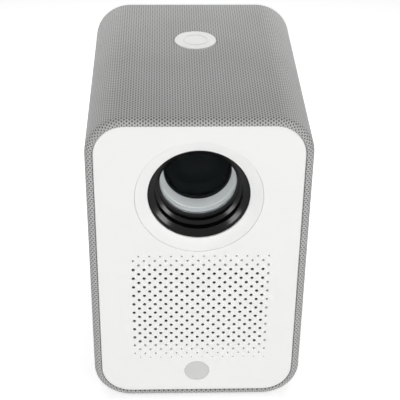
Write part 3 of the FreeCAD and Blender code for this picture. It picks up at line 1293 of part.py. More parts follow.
def drive_case():
    """The sheet-metal pan of the drive, open to the right, with lips that guide the rails."""
    body = drive_body("drive_case")
    add(body, "XY_Plane", "0", "drive_height - sheet", "pan",
        lambda s: rectangle(s, CASE_BACK, CASE_FRONT, "-drive_across", "drive_across"))
    cut(body, "XY_Plane", "sheet", "drive_height", "inside",
        lambda s: rectangle(s, f"{CASE_BACK} + sheet", f"{CASE_FRONT} + sheet", "sheet - drive_across",
                            "drive_across - sheet"))

    def lips(sketch):
        for side in ("-1", "1"):
            outer = f"{side} * (drive_across - sheet / 2)"
            inner = f"{side} * (drive_across - sheet - rail_web)"
            for low, high in (("rail_bottom - slip - 2 * sheet", "rail_bottom - slip"),
                              ("rail_bottom + rail_height + slip",
                               "rail_bottom + rail_height + slip + sheet")):
                polygon(sketch, ((inner, low), (outer, low), (outer, high), (inner, high)))
    add(body, "YZ_Plane", f"{CASE_BACK} + 8 * sheet", f"{CASE_FRONT} - 8 * sheet", "lips", lips)


def drive_cover():
    """The flat top cover of the drive with a shallow stiffening step."""
    body = drive_body("drive_cover")
    add(body, "XY_Plane", "drive_height - sheet", "drive_height", "plate",
        lambda s: rectangle(s, CASE_BACK, CASE_FRONT, "-drive_across", "drive_across"))
    add(body, "XY_Plane", "drive_height", "drive_height + sheet", "step",
        lambda s: rounded(s, f"{CASE_BACK} + 10 * sheet", f"{CASE_FRONT} - 10 * sheet",
                          "10 * sheet - drive_across", "drive_across - 10 * sheet", "10 * sheet"))


def drive_rails():
    """The two slide rails between tray and case; each rib rides in the tray's groove."""
    body = drive_body("drive_rails")
    back = f"({TRAY_BACK} + rail_start)"

    def bars(sketch):
        for side in ("-1", "1"):
            inner = f"{side} * (drive_across - sheet - 2 * slip - rail_web)"
            outer = f"{side} * (drive_across - sheet - 2 * slip)"
            rib = f"{side} * (drive_across - sheet - 2 * slip - rail_web - rail_rib)"
            high = "(rail_bottom + rail_height)"
            polygon(sketch, ((outer, "rail_bottom"), (outer, high), (inner, high), (inner, RIB_HIGH),
                             (rib, RIB_HIGH), (rib, RIB_LOW), (inner, RIB_LOW), (inner, "rail_bottom")))
    add(body, "YZ_Plane", back, f"{CASE_FRONT} - rail_end", "bars", bars)


def disc_tray():
    """The tray: stepped disc recess above, grooves for the rails, pocket below for the pickup."""
    body = drive_body("disc_tray")
    plate = add(body, "XY_Plane", "tray_bottom", "tray_top", "plate",
                lambda s: rectangle(s, TRAY_BACK, TRAY_FRONT, "-tray_across", "tray_across"))
    corners = [name for name in edges_at(plate, "X", number(TRAY_BACK))
               if plate.Shape.getElement(name).BoundBox.ZLength > 1]
    fillet(body, plate, corners, "2 * boss_wall", "corners")
    cut(body, "XY_Plane", RECESS_FLOOR, "tray_top", "recess",
        lambda s: circle(s, SPINDLE_X, "0", f"{TRAY_HALF} - tray_rim"))
    cut(body, "XY_Plane", f"{RECESS_FLOOR} - small_step", "tray_top", "small_recess",
        lambda s: circle(s, SPINDLE_X, "0", "small_disc"))

    def grooves(sketch):
        rib = "(drive_across - sheet - 3 * slip - rail_web - rail_rib)"
        for side in ("-1", "1"):
            polygon(sketch, ((f"{side} * {rib}", f"{RIB_LOW} - slip"),
                             (f"{side} * drive_across", f"{RIB_LOW} - slip"),
                             (f"{side} * drive_across", f"{RIB_HIGH} + slip"),
                             (f"{side} * {rib}", f"{RIB_HIGH} + slip")))
    cut(body, "YZ_Plane", TRAY_BACK, f"{TRAY_FRONT} - 4 * boss_wall", "grooves", grooves)
    turned = {"centre": (SPINDLE_X, "0"), "turn": number("sled_angle")}

    def mechanism(sketch):
        motor_low = "-(screw_across + sled_motor + 2 * slip)"
        motor_high = "(sled_motor + 2 * slip - screw_across)"
        far = f"({CHASSIS_FAR} + 2 * slip)"
        across = "(chassis_across + 2 * slip)"
        near = "-(spindle_motor + boss_wall)"
        end = f"({far} + sled_motor_length + 2 * slip)"
        polygon(sketch, ((near, f"-{across}"), (far, f"-{across}"), (far, motor_low), (end, motor_low),
                         (end, motor_high), (far, motor_high), (far, across), (near, across)))
    cut(body, "XY_Plane", "0", FLOOR_UNDER, "mechanism_pocket", mechanism, **turned)

    def window(sketch):
        rectangle(sketch, "sled_start - objective_radius - boss_wall / 2",
                  f"{LENS_FAR} + objective_radius + boss_wall / 2",
                  "-(objective_radius + boss_wall)", "objective_radius + boss_wall")
    cut(body, "XY_Plane", f"{FLOOR_UNDER} - slip", "tray_top", "window", window, **turned)
    cut(body, "XY_Plane", f"{FLOOR_UNDER} - slip", "tray_top", "turntable_hole",
        lambda s: circle(s, SPINDLE_X, "0", "turntable + panel_edge"))


def tray_bezel():
    """The tray's front, flush with the sleeve, with a hole for the eject button."""
    body = drive_body("tray_bezel")
    gap = "(2 * panel_gap)"
    plate = add(body, "YZ_Plane", TRAY_FRONT, "body_width / 2", "plate",
                lambda s: rectangle(s, f"{gap} - drive_across", f"drive_across - {gap}", gap,
                                    f"drive_height - {gap}"))
    fillet(body, plate, edges_at(plate, "X", number("body_width / 2")), "panel_edge", "edge")
    cut(body, "YZ_Plane", f"{TRAY_FRONT} - slip", "body_width / 2 + slip", "eject_hole",
        lambda s: rectangle(s, "eject_place - eject_across - slip", "eject_place + eject_across + slip",
                            "drive_height / 2 - eject_up - slip", "drive_height / 2 + eject_up + slip"))


def eject_button():
    """The small eject button in the bezel."""
    body = drive_body("eject_button")
    block = add(body, "YZ_Plane", f"{TRAY_FRONT} + eject_travel + slip", "body_width / 2 - 2 * slip",
                "block",
                lambda s: rectangle(s, "eject_place - eject_across", "eject_place + eject_across",
                                    "drive_height / 2 - eject_up", "drive_height / 2 + eject_up"))
    fillet(body, block, edges_at(block, "X", number("body_width / 2 - 2 * slip")), "panel_edge / 2", "edge")


def pickup_chassis():
    """The sheet-metal base of spindle and pickup, with lift-up lugs that hold the guide rods."""
    body = drive_body("pickup_chassis", x=SPINDLE_X, turn=number("sled_angle"))
    plate = "(tray_bottom + sheet)"
    add(body, "XY_Plane", "tray_bottom", plate, "plate",
        lambda s: rectangle(s, "-spindle_motor", CHASSIS_FAR, "-chassis_across", "chassis_across"))
    top = "(rod_height + 2 * rod_radius)"

    def near_lugs(sketch):
        for side in ("-1", "1"):
            inner = f"{side} * (rod_across - 2 * rod_radius)"
            outer = f"{side} * (rod_across + 2 * rod_radius)"
            rectangle(sketch, inner, outer, f"{plate} - sheet / 2", top)

    def far_lugs(sketch):
        near_lugs(sketch)
        rectangle(sketch, "-(screw_across + 2 * rod_radius)", "2 * rod_radius - screw_across",
                  f"{plate} - sheet / 2", top)
    add(body, "YZ_Plane", "chassis_near", "chassis_near + sheet", "near_lugs", near_lugs)
    add(body, "YZ_Plane", f"{CHASSIS_FAR} - sheet", CHASSIS_FAR, "far_lugs", far_lugs)

    def rod_holes(sketch):
        for side in ("-rod_across", "rod_across"):
            circle(sketch, side, "rod_height", "rod_radius")
    cut(body, "YZ_Plane", "chassis_near - slip", f"{CHASSIS_FAR} + slip", "rod_holes", rod_holes)
    cut(body, "YZ_Plane", f"{CHASSIS_FAR} - 2 * sheet", f"{CHASSIS_FAR} + slip", "screw_hole",
        lambda s: circle(s, "-screw_across", "rod_height", "lead_radius + 2 * running"))


def guide_rods():
    """Two ground rods between the chassis lugs."""
    body = drive_body("guide_rods", x=SPINDLE_X, turn=number("sled_angle"))

    def rods(sketch):
        for side in ("-rod_across", "rod_across"):
            circle(sketch, side, "rod_height", "rod_radius")
    add(body, "YZ_Plane", "chassis_near", CHASSIS_FAR, "rods", rods)


def pickup_sled():
    """The sled on the guide rods, bored for them and for the lead screw."""
    body = drive_body("pickup_sled", x=SPINDLE_X, turn=number("sled_angle"))
    low = "(rod_height - sled_thickness / 2)"
    add(body, "XY_Plane", low, f"{low} + sled_thickness", "block",
        lambda s: rounded(s, "sled_start - sled_half", "sled_start + sled_half", "-sled_across",
                          "sled_across", "2 * rod_radius"))

    def bores(sketch):
        for side in ("-rod_across", "rod_across"):
            circle(sketch, side, "rod_height", "rod_radius + running")
        circle(sketch, "-screw_across", "rod_height", "lead_radius + running")
    cut(body, "YZ_Plane", "sled_start - 2 * sled_half", "sled_start + 2 * sled_half", "bores", bores)


def objective_lens():
    """The pickup's lens in its round holder on the sled."""
    body = drive_body("objective_lens", x=SPINDLE_X, turn=number("sled_angle"))
    low = "(rod_height + sled_thickness / 2)"
    add(body, "XY_Plane", low, f"{low} + small_step", "holder",
        lambda s: circle(s, "sled_start", "0", "objective_radius"))
    add(body, "XY_Plane", f"{low} + small_step", f"{low} + 2 * small_step", "glass",
        lambda s: circle(s, "sled_start", "0", "objective_radius * 2 / 3"))


def lead_screw():
    """The screw that drives the sled."""
    body = drive_body("lead_screw", x=SPINDLE_X, turn=number("sled_angle"))
    add(body, "YZ_Plane", "chassis_near + 2 * sheet", f"{CHASSIS_FAR} + sled_motor_length / 2", "rod",
        lambda s: circle(s, "-screw_across", "rod_height", "lead_radius"))


def sled_motor():
    """The pickup motor in the tray's pocket, on the lead screw's end."""
    body = drive_body("sled_motor", x=SPINDLE_X, turn=number("sled_angle"))
    front = f"({CHASSIS_FAR} + 2 * slip)"
    add(body, "YZ_Plane", front, f"{front} + sled_motor_length", "can",
        lambda s: circle(s, "-screw_across", "rod_height", "sled_motor"))
    cut(body, "YZ_Plane", f"{front} - slip", f"{front} + sled_motor_length / 2", "bore",
        lambda s: circle(s, "-screw_across", "rod_height", "lead_radius + running"))


def spindle_motor():
    """The flat spindle motor on the chassis, bored for the hub's shaft."""
    body = drive_body("spindle_motor", x=SPINDLE_X)
    low = "(tray_bottom + sheet)"
    top = f"({FLOOR_UNDER} - 4 * slip)"
    turn_profile(body, (("shaft_radius + running", low), ("spindle_motor", low),
                        ("spindle_motor", f"{top} - sheet"), ("spindle_motor - sheet", top),
                        ("shaft_radius + running", top)), "can", "XZ_Plane", "V_Axis")


def spindle_hub():
    """The turntable with the hub that centres a disc, on its shaft in the motor."""
    body = drive_body("spindle_hub", x=SPINDLE_X)
    low = "(tray_bottom + 2 * sheet)"
    under = f"({DISC_PLANE} - 2 * sheet)"
    turn_profile(body, (("0", low), ("shaft_radius", low), ("shaft_radius", under), ("turntable", under),
                        ("turntable", DISC_PLANE), ("hub_radius", DISC_PLANE),
                        ("hub_radius", f"{DISC_PLANE} + hub_height / 2"),
                        ("hub_radius * 3 / 4", f"{DISC_PLANE} + hub_height"),
                        ("0", f"{DISC_PLANE} + hub_height")),
                 "hub", "XZ_Plane", "V_Axis")


MAKERS = (
    fabric_sleeve, housing_shell, front_panel, grille_mesh, ir_window, ir_receiver_board, back_panel,
    back_screws, base_plate, rubber_feet, tripod_insert, engine_shelf, speaker_frame, speaker_cone,
    speaker_magnet, lens_surround, lens_hood, lens_barrel, front_lens, spacer_ring, middle_lens, rear_lens,
    rear_retaining_ring, lens_mount, focus_ring, focus_retainer, focus_motor, focus_pinion, motor_bracket,
    engine_housing, lcd_panel, condenser_lens, led_board, heatsink, fan_frame, fan_rotor, power_button,
    button_guide, button_switch, main_board, hdmi_port, usb_port, audio_jack, dc_inlet, power_supply,
    drive_surround, drive_case, drive_cover, drive_rails, disc_tray, tray_bezel, eject_button,
    pickup_chassis, guide_rods, pickup_sled, objective_lens, lead_screw, sled_motor, spindle_motor,
    spindle_hub,
)
for make in MAKERS:
    make()
doc.recompute()

for item in doc.Objects:
    if "Invalid" in item.State or "Error" in item.State:
        raise RuntimeError(f"{item.Label} did not recompute: {item.State}")
for body in PARTS:
    if body.Shape.isNull() or not body.Shape.isValid():
        raise RuntimeError(f"{body.Label} has no sound shape")

os.makedirs("parts", exist_ok=True)
for body in PARTS:
    body.Shape.exportStep(f"parts/{body.Label}.step")
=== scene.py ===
"""Dresses the upright projector with a disc drive: its meshes, finishes, camera and light."""

import logging
import math
from dataclasses import dataclass, field
from enum import Enum
from typing import Callable, Iterable, Sequence

import bmesh
import bpy
from mathutils import Matrix, Vector
from mathutils.geometry import delaunay_2d_cdt


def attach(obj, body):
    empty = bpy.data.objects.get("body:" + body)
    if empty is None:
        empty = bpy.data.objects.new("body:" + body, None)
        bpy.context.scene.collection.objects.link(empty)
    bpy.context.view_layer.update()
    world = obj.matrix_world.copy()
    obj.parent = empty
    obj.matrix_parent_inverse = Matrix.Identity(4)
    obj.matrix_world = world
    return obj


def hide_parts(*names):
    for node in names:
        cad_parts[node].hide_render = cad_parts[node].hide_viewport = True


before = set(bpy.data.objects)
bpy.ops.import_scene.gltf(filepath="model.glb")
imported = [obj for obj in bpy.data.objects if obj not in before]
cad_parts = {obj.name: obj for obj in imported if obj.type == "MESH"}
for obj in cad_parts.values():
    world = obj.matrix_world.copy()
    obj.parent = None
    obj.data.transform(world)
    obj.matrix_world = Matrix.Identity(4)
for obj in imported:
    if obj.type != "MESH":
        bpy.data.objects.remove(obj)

log = logging.getLogger("projector")

MM = 0.001

# Millimetres. Depths count from the front plane and heights from the sleeve's underside.
BODY_WIDTH = 140.0
BODY_HEIGHT = 218.5
BODY_DEPTH = 176.5
FOOT_HEIGHT = 1.5
CORNER_RADIUS = 25.0
PANEL_INSET = 0.8
PANEL_THICKNESS = 2.5
PANEL_MARGIN = 4.9
PANEL_BACK = PANEL_INSET + PANEL_THICKNESS
FLANGE_THICKNESS = 1.0
CLEARANCE = 0.1
LENS_HEIGHT = 162.5
DISH_RADIUS = 40.2
BUTTON_DEPTH = 111.5

Point2 = tuple[float, float]
Point3 = tuple[float, float, float]
Colour = tuple[float, float, float, float]
Piece = bpy.types.Object
Tree = bpy.types.NodeTree
Socket = bpy.types.NodeSocket
# An outline or a hole, as a function from how far its rounded edge stands back to its points.
Outline = Callable[[float], list[Point2]]


# ---- places and colours ----

def place(x: float, depth: float, up: float) -> Vector:
    """A point of the frame, in metres.

    Args:
        x: millimetres to the right of the middle.
        depth: millimetres behind the front plane.
        up: millimetres above the underside of the sleeve.

    Returns:
        The point.
    """
    return Vector((x * MM, (depth - BODY_DEPTH / 2) * MM, (up + FOOT_HEIGHT) * MM))


def linear(hex_value: str) -> Colour:
    """Turn an sRGB hex colour to the linear values that shaders take.

    Args:
        hex_value: six hex digits after a hash sign.

    Returns:
        Red, green, blue and an alpha of one.
    """
    parts = [int(hex_value[index:index + 2], 16) / 255 for index in (1, 3, 5)]
    red, green, blue = (part / 12.92 if part <= 0.04045 else ((part + 0.055) / 1.055) ** 2.4
                        for part in parts)
    return (red, green, blue, 1.0)


# ---- outlines ----

def circle_loop(x: float, up: float, radius: float, count: int) -> list[Point2]:
    """Points round a circle, anticlockwise.

    Args:
        x: centre across.
        up: centre upwards.
        radius: radius.
        count: number of points.

    Returns:
        The points.
    """
    turns = (2 * math.pi * step / count for step in range(count))
    return [(x + radius * math.cos(turn), up + radius * math.sin(turn)) for turn in turns]


def rounded_loop(left: float, right: float, low: float, high: float, radius: float,
                 steps: int = 8) -> list[Point2]:
    """Points round a rectangle with rounded corners, anticlockwise from the low right corner.

    Args:
        left: left side.
        right: right side.
        low: lower side.
        high: upper side.
        radius: corner radius.
        steps: runs in each corner.

    Returns:
        The points.
    """
    centres = ((right - radius, low + radius, -90), (right - radius, high - radius, 0),
               (left + radius, high - radius, 90), (left + radius, low + radius, 180))
    points = []
    for x, up, start in centres:
        for step in range(steps + 1):
            turn = math.radians(start + 90 * step / steps)
            points.append((x + radius * math.cos(turn), up + radius * math.sin(turn)))
    return points


def soften(corners: Sequence[tuple[float, float, float]], steps: int = 4) -> list[Point2]:
    """Round the corners of a closed profile.

    Args:
        corners: each corner's two coordinates and its rounding radius.
        steps: runs in each rounding.

    Returns:
        The profile's points.
    """
    points: list[Point2] = []
    count = len(corners)
    for index, (a, b, radius) in enumerate(corners):
        here = Vector((a, b))
        if radius <= 0:
            points.append((a, b))
            continue
        before = Vector(corners[index - 1][:2])
        after = Vector(corners[(index + 1) % count][:2])
        into, out = (before - here).normalized(), (after - here).normalized()
        half = math.acos(max(-1.0, min(1.0, into.dot(out)))) / 2
        # No rounding takes up more than half of a side.
        room = 0.49 * min((before - here).length, (after - here).length)
        reach = min(radius / math.tan(half), room)
        start, end = here + into * reach, here + out * reach
        for step in range(steps + 1):
            share = step / steps
            curve = start * (1 - share) ** 2 + here * 2 * share * (1 - share) + end * share ** 2
            points.append((curve.x, curve.y))
    return points


# ---- meshes ----

def make_piece(name: str, points: Iterable[Vector], faces: Iterable[Sequence[int]],
               flat: Callable[[int], bool] | None = None, crease: float = 40.0) -> Piece:
    """Make a mesh object in the scene with smooth faces and creases.

    Args:
        name: the piece's name.
        points: its points, in metres.
        faces: its faces, as indices of points.
        flat: says for a face's number whether it is a flat area that keeps its own shading.
        crease: degrees above which an edge shows as a crease.

    Returns:
        The object.
    """
    mesh = bpy.data.meshes.new(name)
    mesh.from_pydata([tuple(point) for point in points], [], [tuple(face) for face in faces])
    mesh.validate()
    bm = bmesh.new()
    bm.from_mesh(mesh)
    bm.faces.ensure_lookup_table()
    for face in bm.faces:
        face.smooth = True
    if flat is not None:
        marked = {face.index for face in bm.faces if flat(face.index)}
        for edge in bm.edges:
            sides = [face.index in marked for face in edge.link_faces]
            if len(sides) == 2 and sides[0] != sides[1]:
                edge.smooth = False
    for edge in bm.edges:
        if len(edge.link_faces) == 2 and edge.calc_face_angle(0.0) > math.radians(crease):
            edge.smooth = False
    bmesh.ops.recalc_face_normals(bm, faces=bm.faces)
    bm.to_mesh(mesh)
    bm.free()
    piece = bpy.data.objects.new(name, mesh)
    bpy.context.scene.collection.objects.link(piece)
    return piece


def revolve(name: str, profile: Sequence[Point2], centre: Point2, upright: bool = False,
            count: int = 128) -> Piece:
    """Turn a closed profile about an axis.

    Args:
        name: the piece's name.
        profile: points as (place along the axis, radius); a radius of zero closes on the axis.
        centre: the axis's place: (x, up) for one that runs back, (x, depth) for an upright one.
        upright: whether the axis is upright.
        count: points round the axis.

    Returns:
        The object.
    """
    rings: list[list[int]] = []
    points: list[Vector] = []
    for along, radius in profile:
        turns = range(count) if radius > 1e-6 else range(1)
        ring = []
        for step in turns:
            turn = 2 * math.pi * step / count
            a, b = radius * math.cos(turn), radius * math.sin(turn)
            ring.append(len(points))
            points.append(place(centre[0] + a, centre[1] + b, along) if upright
                          else place(centre[0] + a, along, centre[1] + b))
        rings.append(ring)
    faces: list[tuple[int, ...]] = []
    for index, ring in enumerate(rings):
        other = rings[(index + 1) % len(rings)]
        if len(ring) == 1 and len(other) == 1:
            continue
        for step in range(count):
            following = (step + 1) % count
            quad = (ring[step % len(ring)], ring[following % len(ring)],
                    other[following % len(other)], other[step % len(other)])
            faces.append(tuple(dict.fromkeys(quad)))
    return make_piece(name, points, faces)


def fill_between(outer: Sequence[Point2],
                 holes: Sequence[Sequence[Point2]]) -> list[tuple[int, int, int]]:
    """Triangles that fill an outline around its holes.

    Args:
        outer: the outline.
        holes: the holes.

    Returns:
        Triangles, as indices into the outline's points followed by each hole's points.
    """
    points: list[Vector] = [Vector(point) for point in outer]
    loops = [list(range(len(outer)))]
    for hole in holes:
        loops.append(list(range(len(points), len(points) + len(hole))))
        points += [Vector(point) for point in hole]
    made, _, triangles, origins, _, from_face = delaunay_2d_cdt(points, [], loops, 1, 1e-7)
    names = [origin[0] if origin else 0 for origin in origins]
    # A triangle that comes from the outline alone lies in no hole.
    kept = []
    for triangle, inside in zip(triangles, from_face):
        if list(inside) == [0]:
            kept.append(tuple(names[corner] for corner in triangle))
    assert len(made) == len(points), "an outline crosses another"
    return kept


@dataclass
class Plate:
    """A flat moulded plate with rounded edges and holes, upright and facing the front or the back."""

    name: str
    outline: Outline
    front: float
    back: float
    holes: list[Outline]
    hole_edge: float
    # A vent is a hole that widens towards the back, by the flare.
    vents: list[Outline] = field(default_factory=list)
    flare: float = 0.0
    round_back: bool = False
    edge: float = 0.6
    steps: int = 4

    def rims(self, edge: float, flare: float = 0.0) -> list[tuple[float, float]]:
        """Steps through the thickness at an edge.

        Args:
            edge: the rounding's radius.
            flare: how much wider a hole is at its back.

        Returns:
            Each step's depth and how far it stands back from the wall.
        """
        front, back = self.front, self.back
        if self.round_back:
            front, back = back, front
        way = 1 if back > front else -1
        rounding = []
        for step in range(self.steps + 1):
            turn = math.pi / 2 * step / self.steps
            rounding.append((front + way * edge * (1 - math.cos(turn)), edge * (1 - math.sin(turn))))
        return rounding + [(back, flare)]

    def build(self) -> Piece:
        """Build the plate.

        Returns:
            The object.
        """
        outer_rims, hole_rims = self.rims(self.edge), self.rims(self.hole_edge)
        points: list[Vector] = []
        faces: list[tuple[int, ...]] = []
        cut_loops = [hole(hole_rims[0][1]) for hole in self.holes + self.vents]
        layers: list[list[int]] = []
        loops = [(self.outline, outer_rims)] + [(hole, hole_rims) for hole in self.holes]
        loops += [(vent, self.rims(self.hole_edge, self.flare)) for vent in self.vents]
        for shape, rims in loops:
            rings = []
            for depth, stand in rims:
                ring = shape(stand)
                rings.append(range(len(points), len(points) + len(ring)))
                points += [place(x, depth, up) for x, up in ring]
            count = len(rings[0])
            for near, far in zip(rings, rings[1:]):
                faces += [(near[step], near[(step + 1) % count], far[(step + 1) % count], far[step])
                          for step in range(count)]
            layers.append([list(rings[0]), list(rings[-1])])
        walls = len(faces)
        triangles = fill_between(self.outline(outer_rims[0][1]), cut_loops)
        for side in (0, 1):
            order = [index for layer in layers for index in layer[side]]
            faces += [tuple(order[corner] for corner in triangle) for triangle in triangles]
        return make_piece(self.name, points, faces, lambda number: number >= walls, crease=50)


def join(first: Piece, *others: Piece) -> Piece:
    """Join pieces into the first one.

    Args:
        first: the piece that stays.
        others: the pieces that it takes in.

    Returns:
        The first piece.
    """
    with bpy.context.temp_override(active_object=first, selected_editable_objects=[first, *others]):
        bpy.ops.object.join()
    return first


# ---- finishes ----

def add_node(tree: Tree, kind: str, sockets: dict[str | int, object] | None = None,
             **settings: object) -> bpy.types.Node:
    """Add one node with its settings and links.

    Args:
        tree: the material's or world's node tree.
        kind: the node's type, without its ShaderNode prefix.
        sockets: for each input, by name or number, a value or another node's output.
        settings: the node's own settings.

    Returns:
        The node.
    """
    node = tree.nodes.new(f"ShaderNode{kind}")
    for key, value in settings.items():
        setattr(node, key, value)
    for key, value in (sockets or {}).items():
        if isinstance(value, Socket):
            tree.links.new(value, node.inputs[key])
        else:
            node.inputs[key].default_value = value
    return node


def new_material(name: str) -> tuple[bpy.types.Material, Tree]:
    """An empty node material.

    Args:
        name: the material's name.

    Returns:
        The material and its node tree.
    """
    material = bpy.data.materials.new(name)
    material.use_nodes = True
    material.node_tree.nodes.clear()
    return material, material.node_tree


@dataclass(frozen=True)
class Moulded:
    """Moulded or machined stock: an even colour with fine grain, faint mottling and worn gloss.

    A real mould's grain is too fine to show, so it is drawn coarser.
    """

    name: str
    colour: str
    roughness: float
    ior: float = 1.53
    metallic: float = 0.0
    grain_mm: float = 0.35
    grain_depth_mm: float = 0.01
    mottle: float = 0.03
    mottle_mm: float = 1000 / 22
    wear: float = 0.1
    coat: float = 0.0
    stretch: Point3 = (1.0, 1.0, 1.0)

    def build(self) -> bpy.types.Material:
        """Build the material.

        Returns:
            The material.
        """
        material, tree = new_material(self.name)
        where = add_node(tree, "TexCoord").outputs["Object"]
        scaled = add_node(tree, "Mapping", {"Vector": where, "Scale": self.stretch}).outputs[0]
        grain = add_node(tree, "TexNoise", {"Vector": scaled, "Scale": 1 / (self.grain_mm * MM),
                                            "Detail": 2.0, "Roughness": 0.6})
        broad = add_node(tree, "TexNoise", {"Vector": where, "Scale": 1 / (self.mottle_mm * MM),
                                            "Detail": 3.0}).outputs["Fac"]
        *parts, _ = linear(self.colour)
        dark = (*(part * (1 - self.mottle) for part in parts), 1.0)
        pale = (*(min(1.0, part * (1 + self.mottle)) for part in parts), 1.0)
        colour = add_node(tree, "Mix", {"Factor": broad, "A": dark, "B": pale},
                          data_type="RGBA").outputs["Result"]
        gloss = add_node(tree, "MapRange", {"Value": broad, "From Min": 0.3, "From Max": 0.7,
                                            "To Min": self.roughness * (1 - self.wear),
                                            "To Max": self.roughness * (1 + self.wear)}).outputs["Result"]
        bump = add_node(tree, "Bump", {"Height": grain.outputs["Fac"], "Strength": 1.0,
                                       "Distance": self.grain_depth_mm * MM})
        shader = add_node(tree, "BsdfPrincipled", {
            "Base Color": colour, "Roughness": gloss, "Metallic": self.metallic, "IOR": self.ior,
            "Normal": bump.outputs[0], "Coat Weight": self.coat, "Coat Roughness": 0.05})
        add_node(tree, "OutputMaterial", {"Surface": shader.outputs[0]})
        return material


@dataclass(frozen=True)
class KnittedPolyester:
    """Warp-knitted polyester: pale melange yarn round small staggered holes, matt with a soft sheen."""

    name: str = "knitted_polyester"
    yarn: str = "#c4c4c3"
    fleck: str = "#b0b0af"
    hollow: str = "#565657"
    # The holes' spacing round and along the cloth; a second set stands half a step off.
    across_mm: float = 3.24
    along_mm: float = 2.27
    # A hole's radius, the shares of it where its dark core ends and the yarn is full, and its length.
    hollow_mm: float = 0.86
    hollow_core: float = 0.25
    hollow_rim: float = 0.85
    oval: float = 1.4
    depth_mm: float = 0.35
    yarn_mm: float = 0.45
    cloud_mm: float = 100 / 3
    cloud: float = 0.04
    fuzz: float = 0.12
    roughness: float = 0.92
    sheen: float = 0.45

    def holes(self, tree: Tree, where: Socket, shift: float) -> Socket:
        """Distance to the nearest hole of one of the two sets.

        Args:
            tree: the node tree.
            where: millimetres round and along the cloth.
            shift: half a step for one set and none for the other.

        Returns:
            The distance in millimetres.
        """
        pitch = (self.across_mm, self.along_mm, 1.0)
        cells = add_node(tree, "VectorMath", {0: where, 1: pitch}, operation="DIVIDE").outputs[0]
        moved = add_node(tree, "VectorMath", {0: cells, 1: (shift, shift, 0.0)},
                         operation="ADD").outputs[0]
        inside = add_node(tree, "VectorMath", {0: moved}, operation="FRACTION").outputs[0]
        middle = add_node(tree, "VectorMath", {0: inside, 1: (0.5, 0.5, 0.0)},
                          operation="SUBTRACT").outputs[0]
        oval = (self.across_mm, self.along_mm / self.oval, 1.0)
        real = add_node(tree, "VectorMath", {0: middle, 1: oval}, operation="MULTIPLY").outputs[0]
        return add_node(tree, "VectorMath", {0: real}, operation="LENGTH").outputs["Value"]

    def build(self) -> bpy.types.Material:
        """Build the material.

        Returns:
            The material.
        """
        material, tree = new_material(self.name)
        where = add_node(tree, "Attribute", attribute_name="cloth_mm").outputs["Vector"]
        first, second = (self.holes(tree, where, shift) for shift in (0.0, 0.5))
        nearest = add_node(tree, "Math", {0: first, 1: second}, operation="MINIMUM").outputs[0]
        open_share = add_node(tree, "MapRange", {
            "Value": nearest, "From Min": self.hollow_mm * self.hollow_core,
            "From Max": self.hollow_mm * self.hollow_rim, "To Min": 1.0, "To Max": 0.0},
            interpolation_type="SMOOTHSTEP").outputs["Result"]
        fibres = add_node(tree, "TexNoise", {"Vector": where, "Scale": 1 / self.yarn_mm, "Detail": 3.0,
                                             "Roughness": 0.65}).outputs["Fac"]
        cloudy = add_node(tree, "TexNoise", {"Vector": where, "Scale": 1 / self.cloud_mm,
                                             "Detail": 2.0}).outputs["Fac"]
        flecks = add_node(tree, "MapRange", {"Value": fibres, "From Min": 0.42,
                                             "From Max": 0.62}).outputs["Result"]
        yarn = add_node(tree, "Mix", {"Factor": flecks, "A": linear(self.yarn), "B": linear(self.fleck)},
                        data_type="RGBA").outputs["Result"]
        shade = add_node(tree, "MapRange", {"Value": cloudy, "From Min": 0.3, "From Max": 0.7,
                                            "To Min": 1 - self.cloud,
                                            "To Max": 1 + self.cloud}).outputs["Result"]
        shaded = add_node(tree, "Mix", {"Factor": 1.0, "A": yarn, "B": shade}, data_type="RGBA",
                          blend_type="MULTIPLY").outputs["Result"]
        colour = add_node(tree, "Mix", {"Factor": open_share, "A": shaded, "B": linear(self.hollow)},
                          data_type="RGBA").outputs["Result"]
        raised = add_node(tree, "Math", {0: fibres, 1: self.fuzz}, operation="MULTIPLY").outputs[0]
        height = add_node(tree, "Math", {0: raised, 1: open_share}, operation="SUBTRACT").outputs[0]
        bump = add_node(tree, "Bump", {"Height": height, "Strength": 0.8, "Distance": self.depth_mm * MM})
        shader = add_node(tree, "BsdfPrincipled", {
            "Base Color": colour, "Roughness": self.roughness, "IOR": 1.5, "Specular IOR Level": 0.25,
            "Sheen Weight": self.sheen, "Sheen Roughness": 0.45, "Normal": bump.outputs[0]})
        add_node(tree, "OutputMaterial", {"Surface": shader.outputs[0]})
        return material


@dataclass(frozen=True)
class CoatedGlass:
    """Polished optical glass: nearly clear with a thin coating that reflects a little colour."""

    name: str
    tint: str
    coated_ior: float
    film: str
    haze_mm: float = 1000 / 60

    def build(self) -> bpy.types.Material:
        """Build the material.

        Returns:
            The material.
        """
        material, tree = new_material(self.name)
        material.surface_render_method = "BLENDED"
        facing = add_node(tree, "Fresnel", {"IOR": self.coated_ior}).outputs[0]
        where = add_node(tree, "TexCoord").outputs["Object"]
        haze = add_node(tree, "TexNoise", {"Vector": where, "Scale": 1 / (self.haze_mm * MM),
                                           "Detail": 2.0}).outputs["Fac"]
        gloss = add_node(tree, "MapRange", {"Value": haze, "To Min": 0.01, "To Max": 0.03}).outputs["Result"]
        clear = add_node(tree, "BsdfTransparent", {"Color": linear(self.tint)})
        mirror = add_node(tree, "BsdfGlossy", {"Color": linear(self.film), "Roughness": gloss})
        both = add_node(tree, "MixShader", {0: facing, 1: clear.outputs[0], 2: mirror.outputs[0]})
        add_node(tree, "OutputMaterial", {"Surface": both.outputs[0]})
        return material


